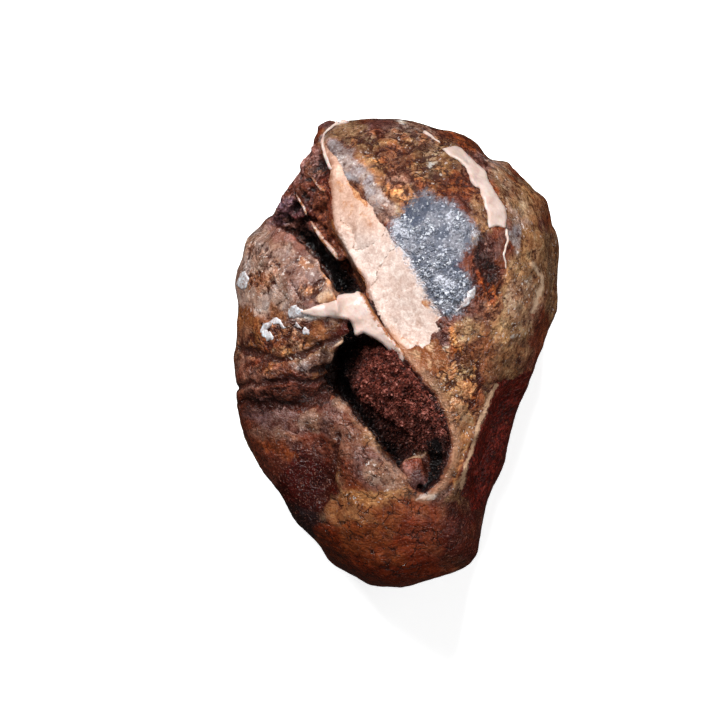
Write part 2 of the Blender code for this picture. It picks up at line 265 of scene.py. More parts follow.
# %% Outlines and paths
OUTLINES = {
    "cream": [
        (-9.9, 29.7), (-8.9, 27.9), (-7.7, 26.1), (-7.0, 24.8), (-6.4, 23.6), (-5.0, 22.0),
        (-3.5, 20.3), (-2.3, 18.3), (-0.6, 16.1), (1.2, 14.2), (2.8, 11.7), (4.2, 9.6),
        (5.5, 7.2), (6.3, 5.2), (5.5, 4.5), (6.0, 3.2), (5.0, 2.9), (4.7, 1.4), (3.6, 0.8),
        (2.6, 1.3), (1.6, 0.7), (0.5, 1.4), (-0.9, 2.4), (-2.2, 3.9), (-3.3, 5.6),
        (-4.0, 7.0), (-4.3, 8.6), (-3.9, 9.8), (-4.6, 11.1), (-6.1, 12.1),
        (-7.0, 13.3), (-7.7, 15.1), (-8.4, 17.5), (-8.9, 19.3), (-9.2, 23.3), (-9.4, 26.3),
        (-9.9, 27.6),
    ],
    "quartz": [
        (-0.9, 17.6), (0.2, 19.2), (1.2, 20.8), (2.2, 21.9), (4.0, 22.8),
        (5.2, 21.7), (6.9, 21.4), (8.4, 20.7), (10.2, 18.9), (11.2, 16.8), (10.5, 15.4),
        (8.8, 12.6), (10.2, 10.7), (10.8, 9.2), (9.9, 7.2), (8.5, 5.6), (7.0, 5.0), (5.6, 6.0),
        (4.2, 7.9), (3.0, 10.3), (0.8, 14.0), (-1.3, 17.2),
    ],
    "sliver": [
        (6.2, 28.6), (8.3, 28.9), (9.4, 28.1), (10.8, 26.8), (12.2, 25.6), (12.8, 24.2),
        (13.7, 22.4), (14.2, 21.5), (15.2, 20.4), (15.3, 18.9), (15.1, 17.4), (14.1, 17.8),
        (12.8, 17.4), (12.6, 19.7), (12.0, 21.5), (11.5, 23.1), (10.8, 23.2), (10.2, 24.4),
        (9.7, 25.8), (8.5, 26.9), (7.4, 27.5),
    ],
    "crescent": [
        (8.1, 6.0), (8.8, 6.8), (9.4, 7.9), (10.1, 9.0), (10.9, 9.7), (10.9, 8.6),
        (10.3, 7.5), (9.5, 6.5), (8.5, 5.7),
    ],
    "bridge": [
        (-13.6, 5.9), (-12.2, 6.3), (-10.3, 7.0), (-8.4, 7.4), (-8.1, 8.2), (-6.6, 8.4),
        (-5.3, 8.6), (-4.4, 8.2), (-3.4, 6.4), (-2.3, 4.6), (-1.1, 2.8), (0.0, 1.5),
        (1.2, 0.2), (0.9, -1.2), (-0.7, 0.2), (-1.9, 1.3), (-3.3, 2.3), (-4.6, 2.9), (-5.7, 2.4),
        (-6.0, 3.6), (-6.6, 4.8), (-8.1, 4.9), (-9.2, 5.1), (-10.9, 5.1), (-12.2, 5.4),
    ],
    "red face": [
        (13.4, -4.6), (15.1, -3.8), (16.9, -3.1), (18.3, -2.5), (21.0, -4.0), (18.0, -14.0),
        (14.0, -22.0), (10.5, -21.6), (8.9, -18.5), (9.5, -15.4), (10.7, -11.9), (11.8, -8.9),
        (12.7, -6.4),
    ],
    "plate": [
        (-18.3, 11.9), (-17.4, 10.7), (-15.9, 8.3), (-15.8, 7.4), (-17.8, 6.4), (-19.2, 5.8),
        (-20.6, 7.8), (-20.3, 9.6), (-19.2, 11.0),
    ],
    "toe": [
        (0.8, 0.8), (3.0, 1.1), (5.5, 1.9), (6.6, 0.6), (7.0, -1.1), (6.2, -2.2),
        (4.7, -2.5), (3.3, -1.4), (1.9, -0.4),
    ],
}

# The hollow's rims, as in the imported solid, from the domed end to the closed end
HOLLOW_RIGHT = [
    (-9.8, 34.8), (-10.3, 29.3), (-8.9, 25.0), (-9.1, 20.7), (-8.8, 17.6), (-7.0, 14.3),
    (-5.3, 11.1), (-3.9, 8.4), (-2.3, 5.2), (-1.2, 2.6), (0.8, -0.6), (3.0, -3.1),
    (4.9, -5.5), (6.3, -8.3), (7.2, -11.5), (6.9, -14.5), (5.8, -17.0), (3.6, -18.9),
]
HOLLOW_LEFT = [
    (-17.2, 31.0), (-18.6, 26.6), (-19.6, 21.8), (-16.4, 18.2), (-13.7, 16.5), (-11.5, 14.2),
    (-9.6, 11.4), (-8.2, 8.6), (-7.2, 5.6), (-7.4, 2.6), (-8.1, 0.0), (-8.6, -2.4),
    (-8.2, -4.4), (-6.4, -6.6), (-4.2, -9.3), (-2.2, -12.0), (0.0, -14.8), (1.9, -18.2),
]

CRACKS = [
    [(-18.7, 11.7), (-17.8, 10.7), (-16.7, 9.9), (-16.0, 8.5), (-15.3, 7.5), (-16.7, 6.7)],
    [(-0.1, 15.0), (-1.2, 14.2), (-2.2, 12.8), (-2.6, 11.4), (-2.8, 10.1), (-3.7, 9.3)],
    [(-1.6, 17.2), (-2.6, 15.8), (-4.2, 14.9), (-6.2, 14.2)],
    [(-7.7, 18.6), (-6.4, 17.2), (-5.7, 15.4), (-6.2, 14.2)],
    [(-5.2, 4.2), (-3.4, 4.0), (-2.0, 3.0), (-0.6, 1.2)],
]
FOLDS = [
    [
        (-21.6, 0.9), (-19.5, 0.2), (-17.0, -0.6), (-15.0, -0.4), (-13.0, 0.1), (-11.4, 0.5),
        (-9.9, 1.3), (-8.6, 2.3),
    ],
    [
        (-22.0, -4.6), (-19.4, -3.8), (-16.8, -4.2), (-14.9, -3.3), (-13.0, -4.1), (-10.5, -4.0),
        (-8.9, -2.8),
    ],
    [(-11.7, -2.4), (-9.5, -1.6)],
    [(-21.5, -6.7), (-17.0, -7.3), (-13.0, -7.3), (-10.8, -5.9), (-9.2, -4.2), (-8.2, -2.6)],
    [(-8.4, -11.2), (-8.9, -14.0), (-9.4, -17.0), (-10.4, -20.4)],
]
SCRATCHES = [
    [(-2.6, 7.5), (-0.6, 8.6), (1.0, 8.9), (3.0, 10.0)],
    [(-0.9, 3.9), (1.0, 5.0), (3.3, 5.6)],
    [(1.4, 8.0), (2.6, 5.2), (4.4, 2.4)],
    [(-3.0, 5.9), (-0.4, 8.0), (0.6, 10.6)],
]
BLADES = {
    "long": ([(-11.9, 18.4), (-11.0, 17.0), (-9.8, 15.3), (-8.7, 14.3), (-8.2, 13.2)], 0.55, 0.72),
    "short": ([(-13.9, 22.1), (-13.4, 21.2), (-12.8, 20.3), (-12.5, 19.3)], 0.25, 0.45),
    "upper": ([(-11.8, 24.6), (-11.2, 23.8), (-10.6, 23.0), (-9.9, 22.6)], 0.25, 0.5),
}
RIDGE = [(13.9, -4.4), (12.8, -6.4), (11.9, -8.9), (10.8, -11.9), (9.7, -15.4), (9.0, -18.6)]
DOME_EDGE = [(18.8, 12.6), (20.3, 10.7), (20.3, 9.6), (19.7, 7.8), (19.0, 5.7)]
TAIL = [(15.2, 17.4), (15.5, 15.8), (14.9, 13.9), (15.3, 11.9)]
WISP = [(3.7, 31.0), (4.8, 30.2), (6.1, 29.4)]
STRAND = [(-9.2, 25.6), (-9.9, 27.6), (-10.4, 29.4), (-10.0, 30.8), (-8.6, 31.9), (-6.6, 32.2)]
WHITE_CRUST = [
    [
        (-22.0, 10.0), (-21.6, 11.2), (-20.9, 11.6), (-20.5, 10.6), (-20.7, 9.4), (-21.3, 8.9),
        (-21.8, 9.2),
    ],
    [
        (-15.1, 5.8), (-14.6, 6.7), (-13.7, 6.5), (-13.1, 6.0), (-12.2, 5.9), (-12.6, 5.5),
        (-13.4, 5.3), (-13.9, 4.8), (-14.7, 4.9),
    ],
]
# Crusts so narrow that a path and a width describe them
THIN_CRUST = [
    ([(-17.5, 2.0), (-18.3, 2.9), (-18.3, 3.9), (-17.4, 4.5), (-16.4, 4.4), (-15.5, 3.7)], 1.25),
    ([(-14.4, 3.9), (-13.8, 4.0), (-13.3, 3.5)], 0.75),
    ([(-12.9, 3.5), (-12.2, 3.2), (-11.9, 2.6)], 0.9),
]
BRIDGE_SEAM = [(-4.6, 8.6), (-3.6, 6.9), (-2.5, 5.0), (-1.3, 3.2), (0.1, 1.5), (1.4, 0.0)]
BRIDGE_CREASE = [(-6.6, 4.7), (-5.6, 4.9), (-4.6, 4.7), (-3.4, 4.0), (-2.2, 2.9)]
STUB = [(0.4, -13.3), (4.2, -13.7), (4.4, -16.4), (3.6, -18.4), (1.6, -18.2), (0.5, -16.0)]
print(len(OUTLINES), "outlines,", len(CRACKS) + len(SCRATCHES), "cracks")

# %% [markdown]
# ## Which points belong to which mineral
#
# The plan distances alone would also mark the underside, so `up` is 1 on the front and
# falls to 0 below the widest outline. The hollow is what lies between its two rims, and
# what the rock hangs over: a ray shot upwards from a point under the left rim hits rock.
# Before measuring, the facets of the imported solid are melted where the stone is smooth,
# and a few flat breaks are cut back into the left lobe.

# %% Melt the facets where the stone is smooth
MELT_ROUNDS = 110
between_rims = inside(points[:, :2], HOLLOW_RIGHT + HOLLOW_LEFT[::-1])
to_form = np.minimum(-between_rims, to_path(points[:, :2], RIDGE))
melt = smoothstep(0.6, 2.6, to_form) + smoothstep(EQUATOR, EQUATOR - 3.0, points[:, 2])
melt = np.clip(melt, 0.0, 1.0) * smoothstep(0.4, 2.4, points[:, 2])
points += melt[:, None] * (smoothed(points, edges, MELT_ROUNDS) - points)
write_points(nodule, points)

# %% Break flat facets into the left lobe: x, y, reach, depth, rise towards +X and +Y
FACETS = [
    (-17.0, 7.6, 2.3, 0.14, 0.05, 0.12), (-13.0, 10.4, 2.3, 0.14, -0.05, 0.03),
    (-9.8, 8.4, 1.6, 0.10, 0.12, 0.05), (-16.2, 13.0, 2.0, 0.12, 0.10, -0.04),
    (-12.4, -0.9, 2.2, 0.14, 0.0, 0.12), (-18.9, 1.6, 1.8, 0.10, 0.0, 0.12),
]
RIM_CLEARANCE = (-0.4, -1.2)  # mm from the hollow's rims: facets start, and are whole


def facet(points, x, y, reach, depth, rise_x, rise_y):
    """Cut flat what stands above a plane fitted to the skin near a place seen from above."""
    away = seen_plan(points) - (x, y)
    distance = np.linalg.norm(away, axis=1)
    outside = (points[:, 2] > EQUATOR) & (between_rims < RIM_CLEARANCE[0])
    near = np.flatnonzero((distance < 1.5 * reach) & outside)
    terms = np.column_stack([np.ones(len(near)), away[near]])
    fitted = np.linalg.lstsq(terms, points[near, 2], rcond=None)[0]
    plane = terms @ fitted - depth + away[near] @ (rise_x, rise_y)
    above = np.clip(points[near, 2] - plane, 0.0, 0.5)
    cover = smoothstep(1.5 * reach, 1.15 * reach, distance[near])
    cover *= smoothstep(*RIM_CLEARANCE, between_rims[near])
    points[near, 2] -= above * cover
    return points


for values in FACETS:
    points = facet(points, *values)

# %% Measure the borders
BORDER_WANDER = 0.35  # mm that noise moves a border by

plan = seen_plan(points)
wander = np.column_stack([field(points, 2.6, 3, 5.0), field(points, 2.6, 3, 9.0)])
ragged = plan + BORDER_WANDER * wander
up = smoothstep(EQUATOR - 7.0, EQUATOR + 0.5, points[:, 2])

border = {name: inside(ragged, outline) for name, outline in OUTLINES.items()}

crack = np.min([to_path(ragged, path) for path in CRACKS], axis=0)
scratch = np.min([to_path(plan, path) for path in SCRATCHES], axis=0)
fold = np.min([to_path(plan + 0.6 * wander, path) for path in FOLDS], axis=0)

between_rims = inside(points[:, :2], HOLLOW_RIGHT + HOLLOW_LEFT[::-1])
LIP = (-7.0, 2.6)  # the left lobe's rounded lip, which hangs over the hollow
near_lip = smoothstep(4.0, 1.0, np.linalg.norm(points[:, :2] - LIP, axis=1))
near_lip *= smoothstep(21.5, 23.5, points[:, 2])
front = np.where(points[:, 2] > EQUATOR - 4.0, 10.0, -10.0)  # no border reaches the underside
border = {name: np.minimum(distance, front) for name, distance in border.items()}
skin = BVHTree.FromPolygons(
    [tuple(point) for point in points],
    [tuple(face.vertices) for face in nodule.data.polygons],
)
normals = read_normals(nodule)


def covered(index):
    start = Vector(points[index] + normals[index] * 0.15)
    return skin.ray_cast(start, Vector((0, 0, 1)))[0] is not None


near_hollow = np.flatnonzero((between_rims > -4.0) & (points[:, 2] > EQUATOR - 1.0))
under = np.zeros(len(points))
under[near_hollow] = [covered(index) for index in near_hollow]
under = smoothed(under[:, None], edges, 2)[:, 0]

STUB_TOP = 25.0  # the stub's faces above this height are bare
HOLLOW_FLOOR = 15.0  # the hollow is nowhere deeper than this height above the floor
hollow = np.where(under > 0.5, np.maximum(between_rims, 0.8), between_rims)
hollow = np.minimum(hollow, points[:, 2] - HOLLOW_FLOOR)
on_stub = (inside(plan, STUB) > -0.3) & (points[:, 2] > STUB_TOP)
hollow = np.where(on_stub, -1.0, hollow)
hollow -= 1.6 * near_lip
hollow -= 0.5 * smoothstep(1.5, 0.8, to_path(points[:, :2], HOLLOW_RIGHT[1:8]))
print("in the hollow:", int((hollow > 0).sum()), "points; covered:", int((under > 0.5).sum()))

# %% [markdown]
# ## Roughening the skin
#
# Each mineral breaks in its own way, so each gets its own relief, weighted by its border:
# the rind has waxy lumps and valleys, the quartz is granular, the cream layer is nearly
# flat with fine scratches, the hollow's wall is botryoidal, like tiny grapes, and the gash
# is pleated lengthwise. All of it is added along the normals, in millimetres. The rind
# itself changes from place to place, so patches say where it is rugged, cracked or streaked.

# %% Lay patches over one another
def lay(values, patches, meanings, plan, amount):
    """Each patch's value laid over the last, with its edges bent by noise."""
    for x, y, long, wide, turn, name, share in patches:
        angle = math.radians(turn)
        away = plan - (x, y)
        along = (away[:, 0] * math.cos(angle) + away[:, 1] * math.sin(angle)) / long
        across = (away[:, 1] * math.cos(angle) - away[:, 0] * math.sin(angle)) / wide
        cover = share * smoothstep(1.18, 0.78, np.hypot(along, across)) * amount
        values = values + (np.array(meanings[name]) - values) * cover[:, None]
    return values


bend = 1.2 * np.column_stack([field(points, 2.8, 5, 21.0), field(points, 2.8, 5, 33.0)])

# %% Where the rind is rugged, cracked or streaked
FEEL = {
    "waxy": (0.15, 0.2, 0.0),
    "clumpy": (1.0, 0.0, 0.0),
    "granular": (0.7, 0.0, 0.0),
    "cracked": (0.15, 1.0, 0.0),
    "streaked": (0.3, 0.2, 1.0),
}
FEEL_PATCHES = [
    (-14.0, 12.0, 9.0, 7.0, 0, "waxy", 0.8), (-12.6, 8.0, 2.6, 2.4, 0, "granular", 0.7),
    (-19.6, 12.0, 2.6, 4.6, 0, "granular", 0.9), (-20.6, 5.4, 3.0, 3.6, 0, "waxy", 0.9),
    (-16.0, 0.0, 6.0, 4.6, 0, "clumpy", 0.9), (-9.6, 1.0, 3.6, 3.4, 0, "waxy", 0.8),
    (-13.0, -10.4, 8.0, 3.4, -14, "streaked", 0.9), (-13.0, -16.0, 5.4, 4.0, -20, "streaked", 0.8),
    (-5.4, -12.4, 3.4, 4.4, 24, "cracked", 0.9), (-1.0, -25.0, 12.0, 8.0, 0, "cracked", 0.95),
    (9.6, -22.0, 3.2, 3.0, 0, "streaked", 0.9), (13.0, -12.0, 3.0, 9.0, -16, "streaked", 0.9),
    (8.0, -4.0, 4.0, 7.0, 0, "clumpy", 0.9), (9.4, -12.6, 2.0, 5.0, -12, "waxy", 0.8),
    (14.6, 1.0, 4.6, 4.0, 0, "cracked", 0.6), (18.6, 12.0, 3.6, 12.0, 0, "streaked", 0.8),
    (2.0, 26.0, 11.0, 6.0, 0, "clumpy", 0.9), (-5.0, 25.2, 1.9, 6.0, 40, "waxy", 0.8),
    (12.4, 11.6, 2.0, 6.0, 8, "clumpy", 0.9), (-15.4, -6.2, 7.6, 1.7, 3, "clumpy", 0.9),
    (-5.4, 10.8, 1.2, 1.8, -35, "clumpy", 1.0),
]
feel = np.tile((0.45, 0.35, 0.15), (len(points), 1))
feel = lay(feel, FEEL_PATCHES, FEEL, plan + bend, up)
rugged, cracked, streaked = feel.T

# %% Relief


def weight(distance, softness=0.35):
    return smoothstep(-softness, softness, distance)


in_hollow = weight(hollow, 0.5)
in_cream = weight(border["cream"]) * (1 - in_hollow)
in_quartz = weight(border["quartz"])
in_rind = (1 - in_hollow) * (1 - in_cream)

broad = field(points, 5.0, 3, 1.0)
knobs = field(points, 1.9, 3, 2.0)
grain = field(points, 0.8, 2, 3.0)
near, second = cells(points, 2.6, 4.0)
valleys = smoothstep(0.0, 0.35, second - near) - 0.8
grapes = 0.6 - cells(points, 1.1, 7.0)[0]
lengthwise = points @ np.array([[0.30, 0.17, 0], [-0.50, 0.87, 0], [0, 0, 0.6]]).T
pleats = 0.5 - np.abs(field(lengthwise, 2.0, 3, 15.0)) * 2.2

facing = 0.35 + 0.65 * smoothstep(0.05, 0.55, np.abs(normals[:, 2]))
relief = in_rind * facing * (0.16 * broad + (0.05 + 0.24 * rugged) * knobs)
relief += in_rind * facing * ((0.02 + 0.24 * rugged) * valleys + (0.05 + 0.09 * rugged) * grain)
relief += in_quartz * in_rind * (0.10 * grapes + 0.10 * grain)
relief += in_cream * (0.10 * broad + 0.03 * knobs)
in_gash = in_hollow * smoothstep(9.0, 13.0, points[:, 1])
relief += in_hollow * facing * (0.34 * broad + 0.28 * knobs + 0.16 * grain)
relief += facing * ((in_hollow - in_gash) * 0.45 * grapes + in_gash * 0.9 * pleats)
relief -= 0.16 * smoothstep(0.45, 0.0, crack) * up * (1 - in_hollow)
relief -= 0.50 * smoothstep(0.8, 0.1, fold) * up * (1 - in_hollow)
relief -= 0.06 * smoothstep(0.3, 0.0, scratch) * in_cream
relief += 0.20 * up * smoothstep(-0.15, 0.20, border["plate"])
flat_spot = smoothstep(1.2, 0.1, points[:, 2])
relief *= 1 - flat_spot
high_up = smoothstep(STUB_TOP - 2.0, STUB_TOP, points[:, 2])
relief *= 1 - 0.8 * smoothstep(-0.6, 0.0, inside(plan, STUB)) * high_up

rough = points + normals * relief[:, None]

# %% Where the outline bulges or draws in: x, y, reach, lowest height, push in x and y
NUDGES = [
    (*LIP, 3.4, 21.0, 2.0, 0.0), (-8.4, 32.8, 2.8, 8.0, -0.3, 0.3), (-12.6, 30.4, 4.6, 8.0, -1.7, 0.8),
    (-17.8, 20.8, 2.6, 8.0, 1.1, -0.4), (-20.8, 15.8, 3.0, 8.0, -0.7, 0.3),
    (17.6, 26.0, 3.4, 8.0, -0.5, -0.5), (21.0, 20.8, 3.2, 8.0, 0.6, 1.1),
    (13.6, 28.4, 3.0, 8.0, -0.5, -0.8), (-13.4, 26.2, 3.0, 8.0, -0.5, 0.1),
]
for x, y, reach, lowest, push_x, push_y in NUDGES:
    near_place = smoothstep(reach, 0.0, np.linalg.norm(points[:, :2] - (x, y), axis=1))
    near_place *= smoothstep(lowest, lowest + 3.0, points[:, 2])
    rough[:, :2] += near_place[:, None] * (push_x, push_y)
left_rim = smoothstep(2.2, 0.4, to_path(points[:, :2], HOLLOW_LEFT))
left_rim *= smoothstep(15.5, 18.0, points[:, 2])
rough[:, :2] += 0.6 * (1 - near_lip)[:, None] * left_rim[:, None] * wander  # rock breaks ragged
rough[:, 2] = np.maximum(rough[:, 2], 0.0)
write_points(nodule, rough)

# %% [markdown]
# The material darkens the valleys and lightens the edges: in the valleys partly as iron
# stain and partly as painted shade, on the edges partly as wear and partly as painted
# highlight. A point lies in a valley when the skin around it, smoothed, runs above it. Two
# amounts of smoothing find narrow and broad valleys.

# %% Valleys and edges
rough_normals = read_normals(nodule)


def valley_depth(rounds):
    away = smoothed(rough, edges, rounds) - rough
    return np.einsum("ij,ij->i", away, rough_normals)


NARROW, BROAD = 4, 24  # rounds of smoothing
crevice = 4.0 * valley_depth(NARROW) + 1.6 * valley_depth(BROAD)
print("valleys", crevice.min().round(2), "to", crevice.max().round(2))

# %% [markdown]
# ## Painting the broad colours
#
# The rind's colour wanders from honey to red-brown and grey. It is painted like a
# watercolour: soft patches with a place, a size and a colour, laid over one another, their
# edges bent by noise. Most patches follow where each tone of the stone lies; a few, noted
# in the table, are painted shade or painted highlight. The material adds all the fine
# mottling later.

# %% The palette, in linear colour
PALETTE = {
    "tan grey": (0.30, 0.165, 0.12),
    "warm tan": (0.21, 0.088, 0.056),
    "mauve grey": (0.155, 0.072, 0.062),
    "dark mauve": (0.080, 0.030, 0.027),
    "cool grey": (0.275, 0.215, 0.210),
    "olive grey": (0.42, 0.220, 0.102),
    "olive brown": (0.225, 0.110, 0.052),
    "amber brown": (0.36, 0.150, 0.056),
    "amber": (0.42, 0.17, 0.07),
    "honey": (0.26, 0.088, 0.030),
    "honey dark": (0.185, 0.037, 0.009),
    "umber": (0.140, 0.016, 0.003),
    "pale tan": (0.58, 0.36, 0.23),
    "orange": (0.44, 0.16, 0.05),
    "orange brown": (0.26, 0.10, 0.05),
    "red brown": (0.13, 0.029, 0.016),
    "deep red": (0.060, 0.006, 0.003),
    "lip red": (0.050, 0.006, 0.003),
    "ox blood": (0.036, 0.002, 0.001),
    "near black": (0.018, 0.007, 0.007),
    "pink brown": (0.25, 0.10, 0.08),
    "purple": (0.105, 0.043, 0.050),
    "grey tan": (0.29, 0.155, 0.105),
    "bright honey": (0.80, 0.38, 0.19),
    "frosted": (0.66, 0.60, 0.55),
    "grey beige": (0.46, 0.31, 0.255),
}

